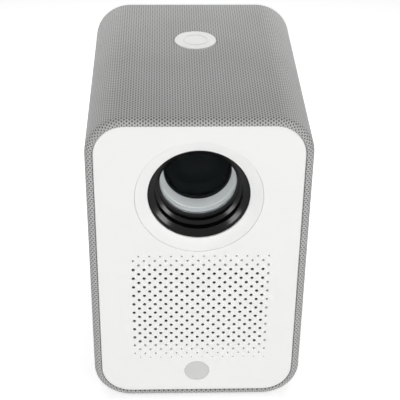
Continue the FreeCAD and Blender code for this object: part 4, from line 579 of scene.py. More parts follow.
class Finish(Enum):
    """Every finish on the part, with what it looks like."""

    # Warp-knitted polyester: matt grey, with regular small dark holes.
    KNIT = KnittedPolyester()
    # ABS from a lightly spark-eroded mould: white, satin, hardly any texture.
    WHITE_ABS = Moulded("white_satin_abs", "#f0f0ef", 0.42, 1.53, grain_depth_mm=0.006, mottle=0.01)
    # The same plastic from a coarser mould: a shade greyer and duller.
    BUTTON_ABS = Moulded("button_satin_abs", "#dddddc", 0.48, 1.53, grain_depth_mm=0.01, mottle=0.012)
    # Grey acrylic that lets infrared through: smooth, glossy, even.
    GREY_ACRYLIC = Moulded("grey_infrared_acrylic", "#cfcfce", 0.22, 1.49, grain_depth_mm=0.001,
                           mottle=0.01)
    # Polished black polycarbonate: deep black with clear soft reflections.
    BLACK_POLYCARBONATE = Moulded("polished_black_polycarbonate", "#060607", 0.2, 1.29,
                                  grain_depth_mm=0.001, mottle=0.02)
    # Glass-filled nylon: dark, matt, slightly grainy.
    DARK_NYLON = Moulded("dark_moulded_nylon", "#202022", 0.55, 1.53, grain_depth_mm=0.02)
    # Plain moulded grey ABS of hidden pieces: even and matt.
    GREY_ABS = Moulded("grey_moulded_abs", "#9c9c9b", 0.5, 1.53)
    # Satin-anodised turned aluminium: bright, with soft streaks of light.
    BRIGHT_ALUMINIUM = Moulded("turned_satin_aluminium", "#f7f8f9", 0.5, metallic=0.15, ior=1.5,
                               grain_mm=0.5, grain_depth_mm=0.002, mottle=0.02)
    # The same ring's inner step: nearly black with no glare, painted as the shade that the hood casts deep
    # in the ring.
    PAINTED_SHADE_ALUMINIUM = Moulded("painted_shade_aluminium", "#101112", 0.4, ior=1.5, grain_depth_mm=0.002)
    # Rolled aluminium sheet: dull shine with fine lines one way.
    SHEET_ALUMINIUM = Moulded("rolled_aluminium", "#b9babc", 0.38, metallic=1.0, ior=1.5, grain_mm=0.4,
                              grain_depth_mm=0.004, stretch=(0.05, 1.0, 1.0))
    # Zinc-plated steel: cool grey with a soft shine.
    PLATED_STEEL = Moulded("zinc_plated_steel", "#a3a6aa", 0.34, metallic=1.0, ior=1.5, grain_depth_mm=0.004)
    # Turned brass: warm yellow with clear highlights.
    TURNED_BRASS = Moulded("turned_brass", "#c9a35a", 0.28, metallic=1.0, ior=1.5, grain_depth_mm=0.003)
    # Moulded rubber: black and matt.
    RUBBER = Moulded("black_moulded_rubber", "#1b1b1c", 0.85, 1.52, grain_mm=0.5, grain_depth_mm=0.03)
    # Pressed paper of the loudspeaker: dark, matt and fibrous.
    PAPER = Moulded("pressed_paper", "#2a2a2b", 0.9, 1.5, grain_mm=0.6, grain_depth_mm=0.05)
    # Sintered ferrite: dull dark grey.
    FERRITE = Moulded("sintered_ferrite", "#37373a", 0.6, 1.5, grain_mm=0.3, grain_depth_mm=0.02)
    # Printed solder mask of circuit boards: patchy green under a clear coat.
    SOLDER_MASK = Moulded("green_solder_mask", "#1d4a31", 0.35, 1.55, grain_mm=0.8, grain_depth_mm=0.01,
                          mottle=0.12, coat=0.3)
    # Woven dust cloth: dark and matt, so that the holes before it look dark.
    DUST_CLOTH = Moulded("grey_dust_cloth", "#4a4a4a", 0.95, 1.5, grain_mm=0.3, grain_depth_mm=0.05)
    # Polished optical glass in front: clear, with a coating that reflects a trace of blue.
    FRONT_GLASS = CoatedGlass("clear_coated_glass", "#fcfdfd", 1.1, "#f2fbff")
    # Coated optical glass further in, with a weak clear reflection: its nearly black colour with a trace of
    # blue-green is painted shade of the lens's dark inside.
    INNER_GLASS_PAINTED_SHADE = Moulded("coated_glass_painted_shade", "#030708", 0.08, 1.13, grain_depth_mm=0.0005, mottle=0.05)

    def material(self) -> bpy.types.Material:
        """The finish's material, built once.

        Returns:
            The material.
        """
        found = bpy.data.materials.get(self.value.name)
        return found if found else self.value.build()

    def dress(self, piece: Piece) -> None:
        """Give a piece this finish all over, unless it is a made piece that is dressed already.

        Args:
            piece: the piece.
        """
        if not piece.material_slots:
            piece.data.materials.append(self.material())
        elif piece.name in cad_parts:
            for slot in piece.material_slots:
                slot.material = self.material()


def show(piece: Piece, finish: Finish, body: str, slot: str, *nodes: str) -> Piece:
    """Dress a piece, set it on its body and name what it stands for.

    Args:
        piece: the piece.
        finish: its finish.
        body: the frame's body that it rides on.
        slot: the record's material slot; not used.
        nodes: the frame's nodes that it stands for.

    Returns:
        The piece.
    """
    finish.dress(piece)
    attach(piece, body)
    if nodes:
        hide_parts(*nodes)
    log.info("%s on %s, for %s", piece.name, body, ", ".join(nodes) or "itself")
    return piece


# ---- the case ----

def cut_patch(outer: list[Point2], hole: list[Point2]) -> list[list[Point2]]:
    """Cut a flat patch in triangles round a hole.

    Args:
        outer: the patch's corners.
        hole: the hole's points.

    Returns:
        Each triangle's corners.
    """
    corners = outer + hole
    return [[corners[number] for number in triangle] for triangle in fill_between(outer, [hole])]


@dataclass
class KnitSleeve:
    """The knitted sleeve: one cloth round the case that rolls over both rims."""

    width: float = BODY_WIDTH
    height: float = BODY_HEIGHT
    depth: float = BODY_DEPTH
    corner: float = CORNER_RADIUS
    roll: float = 4.4
    lip: float = 4.7
    cloth: float = 1.2
    corner_steps: int = 20
    roll_steps: int = 12
    # The button's opening: depth and radius.
    button: Point2 = (BUTTON_DEPTH, 14.6)
    # The tray's opening: nearest and farthest depth, lowest and highest place, corner radius.
    tray: tuple[float, float, float, float, float] = (21.85, 154.65, 25.6, 47.4, 2.35)
    # The base plate's opening: half its width, half its depth, corner radius.
    base: Point3 = (42.1, 72.1, 10.1)

    def round_length(self) -> float:
        """Millimetres round the case."""
        return 2 * (self.width + self.height - 4 * self.corner) + 2 * math.pi * self.corner

    def round_runs(self) -> Point3:
        """Lengths of a flat that runs across, of one that runs up and of a corner's bend."""
        return (self.width - 2 * self.corner, self.height - 2 * self.corner, math.pi * self.corner / 2)

    def round_place(self, along: float) -> tuple[Point2, Point2]:
        """Where a length round the case lies.

        Args:
            along: millimetres anticlockwise from the middle of the underside, seen from the front.

        Returns:
            The point (x, up) on the outside and the direction outwards there.
        """
        half, top, radius = self.width / 2, self.height, self.corner
        inner, high = half - radius, top - radius
        across, upright, bend = self.round_runs()
        # A flat has its length, start and direction; a bend has its length, centre and first angle.
        sides = ((across / 2, (0.0, 0.0), (1, 0)), (bend, (inner, radius), -90),
                 (upright, (half, radius), (0, 1)), (bend, (inner, high), 0),
                 (across, (inner, top), (-1, 0)), (bend, (-inner, high), 90),
                 (upright, (-half, high), (0, -1)), (bend, (-inner, radius), 180),
                 (across / 2, (-inner, 0.0), (1, 0)))
        left = along % self.round_length()
        for length, (x, up), way in sides:
            if left <= length + 1e-9:
                if isinstance(way, tuple):
                    return ((x + way[0] * left, up + way[1] * left), (way[1], -way[0]))
                turn = math.radians(way) + left / radius
                out = (math.cos(turn), math.sin(turn))
                return ((x + radius * out[0], up + radius * out[1]), out)
            left -= length
        return ((0.0, 0.0), (0.0, -1.0))

    def deep_length(self) -> float:
        """Millimetres from lip to lip over the outside."""
        return 2 * (self.lip - self.roll) + math.pi * self.roll + self.depth - 2 * self.roll

    def deep_runs(self) -> Point3:
        """Lengths of a lip's flat edge, of a roll and of the flat between the two rolls."""
        return (self.lip - self.roll, math.pi * self.roll / 2, self.depth - 2 * self.roll)

    def deep_place(self, along: float) -> tuple[float, float, float, float]:
        """Where a length from the front lip lies.

        Args:
            along: millimetres from the front lip.

        Returns:
            How far in from the side, how far back, and the outward direction as (sideways, backwards).
        """
        total = self.deep_length()
        if along > total / 2:
            inset, depth, sideways, backwards = self.deep_place(total - along)
            return (inset, self.depth - depth, sideways, -backwards)
        edge, bend, _ = self.deep_runs()
        if along <= edge:
            return (self.lip - along, 0.0, 0.0, -1.0)
        if along <= edge + bend:
            turn = (along - edge) / self.roll
            return (self.roll * (1 - math.sin(turn)), self.roll * (1 - math.cos(turn)),
                    math.sin(turn), -math.cos(turn))
        return (0.0, self.roll + along - edge - bend, 1.0, 0.0)

    def surface(self, round_mm: float, deep_mm: float) -> tuple[Vector, Vector]:
        """The outer and the inner point of the cloth at a place on it.

        Args:
            round_mm: millimetres round the case.
            deep_mm: millimetres from the front lip.

        Returns:
            The outer point and the inner one.
        """
        (x, up), (out_x, out_up) = self.round_place(round_mm)
        inset, depth, sideways, backwards = self.deep_place(deep_mm)
        outer = (x - inset * out_x, depth, up - inset * out_up)
        inner = (outer[0] - self.cloth * sideways * out_x, depth - self.cloth * backwards,
                 outer[2] - self.cloth * sideways * out_up)
        return place(*outer), place(*inner)

    def stops(self) -> tuple[list[float], list[float]]:
        """Grid lines of the cloth.

        Returns:
            The lines round it and the lines along it.
        """
        across, upright, bend = self.round_runs()
        round_stops, here = [0.0], across / 2
        for flat in (upright, across, upright, across / 2):
            round_stops += [here + bend * step / self.corner_steps for step in range(self.corner_steps + 1)]
            here += bend + flat
        edge, roll, flat = self.deep_runs()
        deep_stops = [0.0]
        for start in (edge, edge + roll + flat):
            deep_stops += [start + roll * step / self.roll_steps for step in range(self.roll_steps + 1)]
        deep_stops.append(self.deep_length())
        return round_stops, deep_stops

    def openings(self) -> list[list[Point2]]:
        """The cloth's openings, in its own millimetres.

        Returns:
            The openings for the button, the tray and the base plate.
        """
        across, upright, bend = self.round_runs()
        edge, roll, _ = self.deep_runs()
        ahead = edge + roll - self.roll
        top = across / 2 + bend + upright + bend + across / 2
        right = across / 2 + bend - self.corner
        near, far, low, high, rounding = self.tray
        half, along, corner = self.base
        total, middle = self.round_length(), self.depth / 2 + ahead
        return [circle_loop(top, self.button[0] + ahead, self.button[1], 64),
                rounded_loop(right + low, right + high, near + ahead, far + ahead, rounding),
                rounded_loop(total - half, total + half, middle - along, middle + along, corner)]

    def patches(self) -> list[list[Point2]]:
        """The cloth laid flat and cut in faces round its openings.

        Returns:
            Each face's corners, as millimetres round and along the cloth.
        """
        round_stops, deep_stops = self.stops()
        total = self.round_length()
        button, tray, base = self.openings()
        first, last = deep_stops[self.roll_steps + 1:self.roll_steps + 3]
        lines = [*round_stops, total]
        made: list[list[Point2]] = []
        for low, high in zip(lines, lines[1:]):
            for near, far in zip(deep_stops, deep_stops[1:]):
                flat = (near, far) == (first, last)
                if flat and (low == 0.0 or high == total):
                    continue
                outer = [(low, near), (high, near), (high, far), (low, far)]
                inside = [hole for hole in (button, tray) if flat and low < hole[0][0] < high]
                made += cut_patch(outer, inside[0]) if inside else [outer]
        # The two halves of the underside that are left out above are one patch round the base plate.
        half = self.width / 2 - self.corner
        under = [(total - half, first), (total, first), (total + half, first),
                 (total + half, last), (total, last), (total - half, last)]
        return made + cut_patch(under, base)

    def build(self) -> Piece:
        """Build the cloth as one closed thin shell.

        Returns:
            The object.
        """
        total = self.round_length()
        # Places within a ten-thousandth of a millimetre are one point.
        per_mm = 1e4
        points: list[Vector] = []
        known: dict[tuple[int, int], int] = {}
        faces: list[tuple[int, ...]] = []
        where: list[list[Point2]] = []
        edges: dict[tuple[int, int], tuple[Point2, Point2]] = {}
        for patch in self.patches():
            # Each outer point has its number, and its inner point has the next one.
            numbers = []
            for round_mm, deep_mm in patch:
                key = (round((round_mm % total) * per_mm) % round(total * per_mm), round(deep_mm * per_mm))
                if key not in known:
                    known[key] = len(points)
                    points += self.surface(round_mm, deep_mm)
                numbers.append(known[key])
            faces += [tuple(numbers), tuple(number + 1 for number in reversed(numbers))]
            where += [patch, patch[::-1]]
            for index, number in enumerate(numbers):
                following = (index + 1) % len(numbers)
                # An edge that two patches share goes the other way in the second one.
                if edges.pop((numbers[following], number), None) is None:
                    edges[(number, numbers[following])] = (patch[index], patch[following])
        for (start, end), (first, second) in edges.items():
            faces.append((end, start, start + 1, end + 1))
            where.append([second, first, first, second])
        piece = make_piece("knit_sleeve", points, faces, crease=60)
        cloth_mm = piece.data.attributes.new("cloth_mm", "FLOAT_VECTOR", "CORNER")
        by_corner = {frozenset(face): dict(zip(face, marks)) for face, marks in zip(faces, where)}
        for polygon in piece.data.polygons:
            table = by_corner[frozenset(polygon.vertices)]
            for loop in polygon.loop_indices:
                around, deep = table[piece.data.loops[loop].vertex_index]
                cloth_mm.data[loop].vector = (around, deep, 0.0)
        return piece

    def dress(self) -> None:
        piece = show(self.build(), Finish.KNIT, "case", "fabric", "fabric_sleeve")


def panel_outline(stand: float) -> list[Point2]:
    """The outline of the front and back panels.

    Args:
        stand: how far it stands back from the panel's edge.

    Returns:
        The outline's points.
    """
    margin = PANEL_MARGIN + stand
    return rounded_loop(margin - BODY_WIDTH / 2, BODY_WIDTH / 2 - margin, margin, BODY_HEIGHT - margin,
                        CORNER_RADIUS - margin, 20)


def round_hole(x: float, up: float, radius: float, count: int) -> Outline:
    """A round hole whose loop can be widened for its rounded edge.

    Args:
        x: its centre across.
        up: its centre upwards.
        radius: its radius.
        count: points round it.

    Returns:
        A function from the widening to the loop.
    """
    return lambda wider: circle_loop(x, up, radius + wider, count)


def slot_hole(left: float, right: float, low: float, high: float, radius: float,
              steps: int = 6) -> Outline:
    """A rounded rectangular hole whose loop can be widened for its rounded edge.

    Args:
        left: left side.
        right: right side.
        low: lower side.
        high: upper side.
        radius: corner radius.
        steps: runs in each corner.

    Returns:
        A function from the widening to the loop.
    """
    return lambda wider: rounded_loop(left - wider, right + wider, low - wider, high + wider,
                                      radius + wider, steps)


@dataclass
class FrontPanel:
    """The white front with its lens opening, window opening and graded grille."""

    lens_opening: float = DISH_RADIUS + CLEARANCE
    pitch: float = 7.0
    columns: int = 13
    top_row: float = 108.0
    rows: int = 18
    hole: float = 1.05
    hole_edge: float = 0.14
    hole_steps: int = 20
    flare: float = 0.95
    last: float = 0.98
    # Radii of the paler rows, outwards from the main field.
    fading: tuple[float, ...] = (1.0, 0.84, 0.64)
    fading_low: tuple[float, ...] = (0.98, 0.84, 0.66, 0.45)
    # Holes up to this radius have fewer points.
    tiny: float = 0.6
    tiny_steps: int = 12
    window_up: float = 22.2
    window: float = 8.4
    window_bevel: float = 0.25
    window_sag: float = 0.05
    window_flange: float = 1.0

    def grille(self) -> tuple[list[Outline], list[Outline]]:
        """The staggered holes of the grille.

        Returns:
            The main field, and the paler holes above it, below it and at its right edge.
        """
        sizes = {row: self.hole for row in range(self.rows)}
        sizes.update({-1 - step: size for step, size in enumerate(self.fading)})
        sizes.update({self.rows + step: size for step, size in enumerate(self.fading_low)})
        main, pale = [], []
        for row, size in sorted(sizes.items()):
            up = self.top_row - row * self.pitch / 2
            shift = self.pitch / 2 * (row % 2)
            for column in range(self.columns):
                x = (column - (self.columns - 1) / 2) * self.pitch + shift
                if size < self.hole:
                    steps = self.hole_steps if size > self.tiny else self.tiny_steps
                    pale.append(round_hole(x, up, size, steps))
                elif shift and column == self.columns - 1:
                    pale.append(round_hole(x, up, self.last, self.hole_steps))
                else:
                    main.append(round_hole(x, up, size, self.hole_steps))
        return main, pale

    def panel(self) -> Piece:
        """The white plate with all its holes.

        Returns:
            The object.
        """
        main, pale = self.grille()
        holes = [round_hole(0.0, LENS_HEIGHT, self.lens_opening, 128),
                 round_hole(0.0, self.window_up, self.window, 64), *pale]
        return Plate("white_front", panel_outline, PANEL_INSET, PANEL_BACK, holes, self.hole_edge,
                     vents=main, flare=self.flare).build()

    def remote_window(self) -> Piece:
        """The round window with the flange that holds it behind the panel.

        Returns:
            The object.
        """
        front, back = PANEL_INSET, PANEL_BACK + FLANGE_THICKNESS
        rim = self.window - CLEARANCE
        flange = rim + self.window_flange
        bevel_front = front + self.window_sag
        profile = soften(((front, 0.0, 0), (bevel_front, rim - self.window_bevel, 0.3),
                          (bevel_front + self.window_bevel, rim, 0.2), (PANEL_BACK, rim, 0),
                          (PANEL_BACK, flange, 0), (back, flange, 0), (back, 0.0, 0)))
        return revolve("infrared_window", profile, (0.0, self.window_up), count=96)

    def dress(self) -> None:
        """Build the panel and the window, and dress them."""
        show(self.panel(), Finish.WHITE_ABS, "case", "white", "front_panel")
        show(self.remote_window(), Finish.GREY_ACRYLIC, "case", "grey_window", "ir_window")


@dataclass
class PanScrew:
    """A pan-head screw with a cross recess, driven in from the back."""

    top: float = BODY_DEPTH - PANEL_INSET
    head: float = 2.9
    head_height: float = 1.4
    head_side: float = 0.9
    crown: float = 2.1
    shank: float = 1.45
    length: float = 7.0
    tip: float = 0.9
    taper: float = 1.0
    recess: float = 1.55
    recess_floor: float = 0.45
    recess_depth: float = 0.9
    arm: float = 1.5
    arm_half: float = 0.28
    arm_depths: Point2 = (0.32, 0.12)
    turn: float = 0.6

    def build(self, name: str, x: float, up: float) -> Piece:
        """Build one screw.

        Args:
            name: its name.
            x: its place across.
            up: its place upwards.

        Returns:
            The object.
        """
        seat, floor = self.top - self.head_height, self.top - self.recess_depth
        end = seat - self.length
        profile = soften((
            (end, 0.0, 0), (end, self.tip, 0), (end + self.taper, self.shank, 0.2), (seat, self.shank, 0),
            (seat, self.head, 0.1), (seat + self.head_side, self.head, 0.3), (self.top, self.crown, 0.5),
            (self.top, self.recess, 0.1), (floor, self.recess_floor, 0.1), (floor, 0.0, 0)))
        body = revolve(name, profile, (x, up), count=48)
        arms = []
        for turn in (self.turn, self.turn + math.pi / 2):
            cos, sin = math.cos(turn), math.sin(turn)
            corners = [(a * cos - b * sin, a * sin + b * cos) for a, b in
                       ((-self.arm, -self.arm_half), (self.arm, -self.arm_half),
                        (self.arm, self.arm_half), (-self.arm, self.arm_half))]
            points = [place(x + a, self.top - depth, up + b)
                      for depth in self.arm_depths for a, b in corners]
            sides = [(step, step + 4, (step + 1) % 4 + 4, (step + 1) % 4) for step in range(4)]
            arms.append(make_piece(f"{name}_arm", points, [(0, 1, 2, 3), (7, 6, 5, 4), *sides]))
        return join(body, *arms)


@dataclass
class BackPanel:
    """The removable white back with air slots, sockets' openings and screw seats."""

    fan_bore: float = 28.2
    fan_rows: int = 4
    supply_top: float = 112.0
    supply_rows: int = 6
    supply_half: float = 33.0
    slot_pitch: float = 6.0
    slot_half: float = 1.2
    slot_corner: float = 1.15
    slot_end: float = 0.6
    board_top: float = 11.0
    # Each socket's place across, half its width and its height.
    sockets: tuple[Point3, ...] = ((-23.0, 7.6, 5.8), (-3.0, 7.2, 7.0), (13.0, 3.6, 7.2), (27.0, 4.6, 9.2))
    socket_room: float = 0.2
    socket_corner: float = 0.5
    hole_edge: float = 0.2
    # The screws' place to either side, and their lower and upper place.
    screw_places: Point3 = (54.9, 15.1, 203.4)
    screw_bore: float = 3.1

    def screw_centres(self) -> list[Point2]:
        """Where the four screws are, as (x, up)."""
        across, low, high = self.screw_places
        return [(x, up) for x in (-across, across) for up in (low, high)]

    def air_slot(self, half: float, middle: float) -> Outline:
        """One air slot, from half its length and its middle's height."""
        return slot_hole(-half, half, middle - self.slot_half, middle + self.slot_half, self.slot_corner)

    def holes(self) -> list[Outline]:
        """Every opening through the back.

        Returns:
            The openings: fan, supply, sockets and screws.
        """
        made = []
        for step in range(-self.fan_rows, self.fan_rows + 1):
            rise = step * self.slot_pitch
            half = math.sqrt(self.fan_bore ** 2 - rise ** 2) - self.slot_end
            made.append(self.air_slot(half, LENS_HEIGHT + rise))
        for step in range(self.supply_rows):
            made.append(self.air_slot(self.supply_half,
                                      self.supply_top + self.slot_half - step * self.slot_pitch))
        room = self.socket_room
        for x, half, height in self.sockets:
            made.append(slot_hole(x - half - room, x + half + room, self.board_top - room,
                                  self.board_top + height + room, self.socket_corner, 3))
        return made + [round_hole(x, up, self.screw_bore, 32) for x, up in self.screw_centres()]

    def dress(self) -> None:
        """Build the back and its screws, and dress them."""
        plate = Plate("white_back", panel_outline, BODY_DEPTH - PANEL_BACK, BODY_DEPTH - PANEL_INSET,
                      self.holes(), self.hole_edge, round_back=True)
        show(plate.build(), Finish.WHITE_ABS, "case", "white", "back_panel")
        screws = [PanScrew().build(f"back_screw_{index}", x, up)
                  for index, (x, up) in enumerate(self.screw_centres())]
        show(join(*screws), Finish.PLATED_STEEL, "case", "steel", "back_screws")


# ---- the lens ----

@dataclass
class Lens:
    """The dished ring, black hood, barrel, glass and bright ring, all about the lens axis."""

    axis: Point2 = (0.0, LENS_HEIGHT)
    wall: float = 1.6
    throat: float = 32.2
    throat_depth: float = 4.4
    hood_seat: float = 5.5
    collar_back: float = 13.2
    flange: float = 42.4
    hood_end: float = 18.2
    hood_end_radius: float = 28.8
    # The hood's inside from its end to its seat: depth, radius and rounding.
    hood_inside: tuple[Point3, ...] = ((18.2, 25.6, 0.3), (14.4, 25.4, 0.4), (12.9, 27.7, 0.4),
                                       (8.4, 27.7, 0.9), (6.5, 30.6, 0.8), (5.9, 32.0, 0.3))
    barrel_front: float = 20.2
    barrel_back: float = 60.2
    barrel_radius: float = 27.55
    barrel_bore: float = 26.05
    lip_back: float = 21.0
    pin_depth: float = 41.0
    pin_radius: float = 1.5
    pin_reach: Point2 = (26.8, 30.55)
    # The glasses' outer radius, and how far their fronts bulge.
    glass_rim: float = 26.0
    glass_rise: float = 4.0
    front_dome: float = 24.5
    middle_dome: float = 21.4
    middle_back: float = 44.4
    # The bright ring between the glasses, which narrows from front to back.
    spacer_front: float = 23.4
    spacer_back: float = 38.4
    spacer_end: float = 21.5
    step_front: float = 35.2
    groove_front: float = 26.6
    groove_width: float = 0.5
    groove_radius: float = 24.2

    def turned(self, name: str, corners: Sequence[Point3], steps: int, count: int) -> Piece:
        """A ring turned about the lens axis.

        Args:
            name: its name.
            corners: its profile's corners: depth, radius and rounding.
            steps: runs in each rounding.
            count: points round the axis.

        Returns:
            The object.
        """
        return revolve(name, soften(corners, steps), self.axis, count=count)

    def surround(self) -> Piece:
        """The white dished ring, with its collar and flange.

        Returns:
            The object.
        """
        seat = self.throat + self.wall
        collar, flange_back = seat + self.wall, PANEL_BACK + FLANGE_THICKNESS
        return self.turned("dished_ring", (
            (PANEL_INSET, DISH_RADIUS, 0.55), (self.throat_depth, self.throat, 0.5),
            (self.hood_seat, self.throat, 0), (self.hood_seat, seat, 0), (self.collar_back, seat, 0),
            (self.collar_back, collar, 0), (flange_back, collar, 0), (flange_back, self.flange, 0),
            (PANEL_BACK, self.flange, 0), (PANEL_BACK, DISH_RADIUS, 0)), 6, 192)

    def hood(self) -> Piece:
        """The glossy hood with its rounded step.

        Returns:
            The object.
        """
        outside = self.throat + self.wall
        return self.turned("black_hood", (
            (self.hood_seat, self.throat, 0), (self.hood_seat, outside, 0), (self.collar_back, outside, 0),
            (self.hood_end, self.hood_end_radius, 0), *self.hood_inside), 8, 192)

    def barrel(self) -> Piece:
        """The barrel's tube with its lip and follower pins.

        Returns:
            The object.
        """
        tube = self.turned("sliding_barrel", (
            (self.barrel_front, self.front_dome, 0.15), (self.barrel_front, self.barrel_radius, 0.2),
            (self.barrel_back, self.barrel_radius, 0.2), (self.barrel_back, self.barrel_bore, 0.1),
            (self.lip_back, self.barrel_bore, 0), (self.lip_back, self.front_dome, 0.1)), 3, 160)
        near, far = self.pin_reach
        pins = []
        for index, (low, high) in enumerate(((near, far), (-far, -near))):
            low, high = LENS_HEIGHT + low, LENS_HEIGHT + high
            profile = ((low, 0.0), (low, self.pin_radius), (high, self.pin_radius), (high, 0.0))
            pins.append(revolve(f"pin_{index}", profile, (0.0, self.pin_depth), upright=True, count=24))
        return join(tube, *pins)

    def glass(self, name: str, flat: float, edge: float, radius: float) -> Piece:
        """A lens with a flat back, a domed front and a flat rim.

        Args:
            name: its name.
            flat: depth of its back.
            edge: depth of the dome's edge.
            radius: radius of the dome.

        Returns:
            The object.
        """
        rise, rim, steps = self.glass_rise, self.glass_rim, 24
        bend = (radius ** 2 + rise ** 2) / (2 * rise)
        span = math.asin(radius / bend)
        turns = [span * step / steps for step in range(steps + 1)]
        dome = [(edge - rise + bend * (1 - math.cos(turn)), bend * math.sin(turn)) for turn in turns]
        return revolve(name, [*dome, (edge, rim), (flat, rim), (flat, 0.0)], self.axis, count=160)

    def taper(self, depth: float) -> float:
        """The bright ring's inner radius at a depth."""
        slope = (self.front_dome - self.spacer_end) / (self.spacer_back - self.spacer_front)
        return self.front_dome - slope * (depth - self.spacer_front)

    def spacer(self) -> Piece:
        """The bright tapered ring with one fine groove, and its inner step painted nearly black as the
        hood's shade.

        Returns:
            The object.
        """
        rim, groove, step = self.glass_rim, self.groove_front, self.step_front
        groove_back = groove + self.groove_width
        bright = self.turned("bright_ring", (
            (self.spacer_front, self.front_dome, 0.1), (self.spacer_front, rim, 0), (step, rim, 0),
            (step, self.taper(step), 0), (groove_back, self.taper(groove_back), 0.05),
            (groove + self.groove_width / 2, self.groove_radius, 0.05),
            (groove, self.taper(groove), 0.05)), 3, 192)
        Finish.BRIGHT_ALUMINIUM.dress(bright)
        # The inner step is painted nearly black: painted shade of the hood deep in the ring.
        dark = self.turned("painted_shade_step", (
            (step, self.taper(step), 0), (step, rim, 0), (self.spacer_back, rim, 0),
            (self.spacer_back, self.spacer_end, 0.1)), 3, 192)
        Finish.PAINTED_SHADE_ALUMINIUM.dress(dark)
        return join(bright, dark)

    def dress(self) -> None:
        """Build the lens from front to back, and dress it."""
        show(self.surround(), Finish.WHITE_ABS, "case", "white", "lens_surround")
        show(self.hood(), Finish.BLACK_POLYCARBONATE, "case", "hood_black", "lens_hood")
        show(self.barrel(), Finish.DARK_NYLON, "barrel", "dark", "lens_barrel")
        show(self.glass("front_glass", self.spacer_front, self.lip_back, self.front_dome),
             Finish.FRONT_GLASS, "barrel", "glass", "front_lens")
        show(self.spacer(), Finish.BRIGHT_ALUMINIUM, "barrel", "bright", "spacer_ring")
        # The middle glass is opaque, painted nearly black as the shade inside the lens.
        show(self.glass("middle_glass", self.middle_back, self.spacer_back, self.middle_dome),
             Finish.INNER_GLASS_PAINTED_SHADE, "barrel", "glass", "middle_lens")


@dataclass
class TopButton:
    """The round power button with its embossed ring."""

    depth: float = BUTTON_DEPTH
    radius: float = 14.3
    top: float = 219.0
    under: float = 217.0
    edge: float = 0.35
    edge_drop: float = 0.6
    ring: float = 8.0
    # The ring's half width at its foot and at its crest, and its height.
    bead: Point3 = (0.6, 0.3, 0.2)
    stem: float = 2.0
    stem_foot: float = 203.2

    def dress(self) -> None:
        """Build the button and dress it."""
        top, ring = self.top, self.ring
        foot, crest, rise = self.bead
        profile = soften((
            (top, 0.0, 0), (top, ring - foot, 0.2), (top + rise, ring - crest, 0.2),
            (top + rise, ring + crest, 0.2), (top, ring + foot, 0.2), (top, self.radius - self.edge, 0.4),
            (top - self.edge_drop, self.radius, 0.4), (self.under, self.radius, 0),
            (self.under, self.stem, 0), (self.stem_foot, self.stem, 0), (self.stem_foot, 0.0, 0)), 5)
        piece = revolve("round_button", profile, (0.0, self.depth), upright=True)
        show(piece, Finish.BUTTON_ABS, "power_button", "white_button", "power_button")


# ---- carried-over nodes ----

KEPT = {
    Finish.GREY_ABS: ("housing_shell", "engine_shelf", "button_guide"),
    Finish.DUST_CLOTH: ("grille_mesh",),
    Finish.SOLDER_MASK: ("ir_receiver_board", "led_board", "button_switch", "main_board", "power_supply"),
    Finish.DARK_NYLON: ("base_plate", "speaker_frame", "rear_retaining_ring", "lens_mount", "focus_ring",
                        "focus_retainer", "engine_housing", "fan_frame", "fan_rotor", "audio_jack",
                        "dc_inlet", "disc_tray", "pickup_sled", "spindle_hub"),
    Finish.RUBBER: ("rubber_feet",),
    Finish.TURNED_BRASS: ("tripod_insert", "focus_pinion"),
    Finish.PAPER: ("speaker_cone",),
    Finish.FERRITE: ("speaker_magnet",),
    Finish.INNER_GLASS_PAINTED_SHADE: ("rear_lens", "lcd_panel", "condenser_lens", "objective_lens"),
    Finish.PLATED_STEEL: ("focus_motor", "motor_bracket", "hdmi_port", "usb_port", "drive_rails",
                          "pickup_chassis", "guide_rods", "lead_screw", "sled_motor", "spindle_motor"),
    Finish.SHEET_ALUMINIUM: ("heatsink", "drive_case", "drive_cover"),
    Finish.WHITE_ABS: ("drive_surround", "tray_bezel"),
    Finish.BUTTON_ABS: ("eject_button",),
}


def dress_kept() -> None:
    """Give every node that stays its finish."""
    for finish, names in KEPT.items():
        for name in names:
            finish.dress(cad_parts[name])
            log.info("%s keeps its own shape", name)


# ---- studio ----

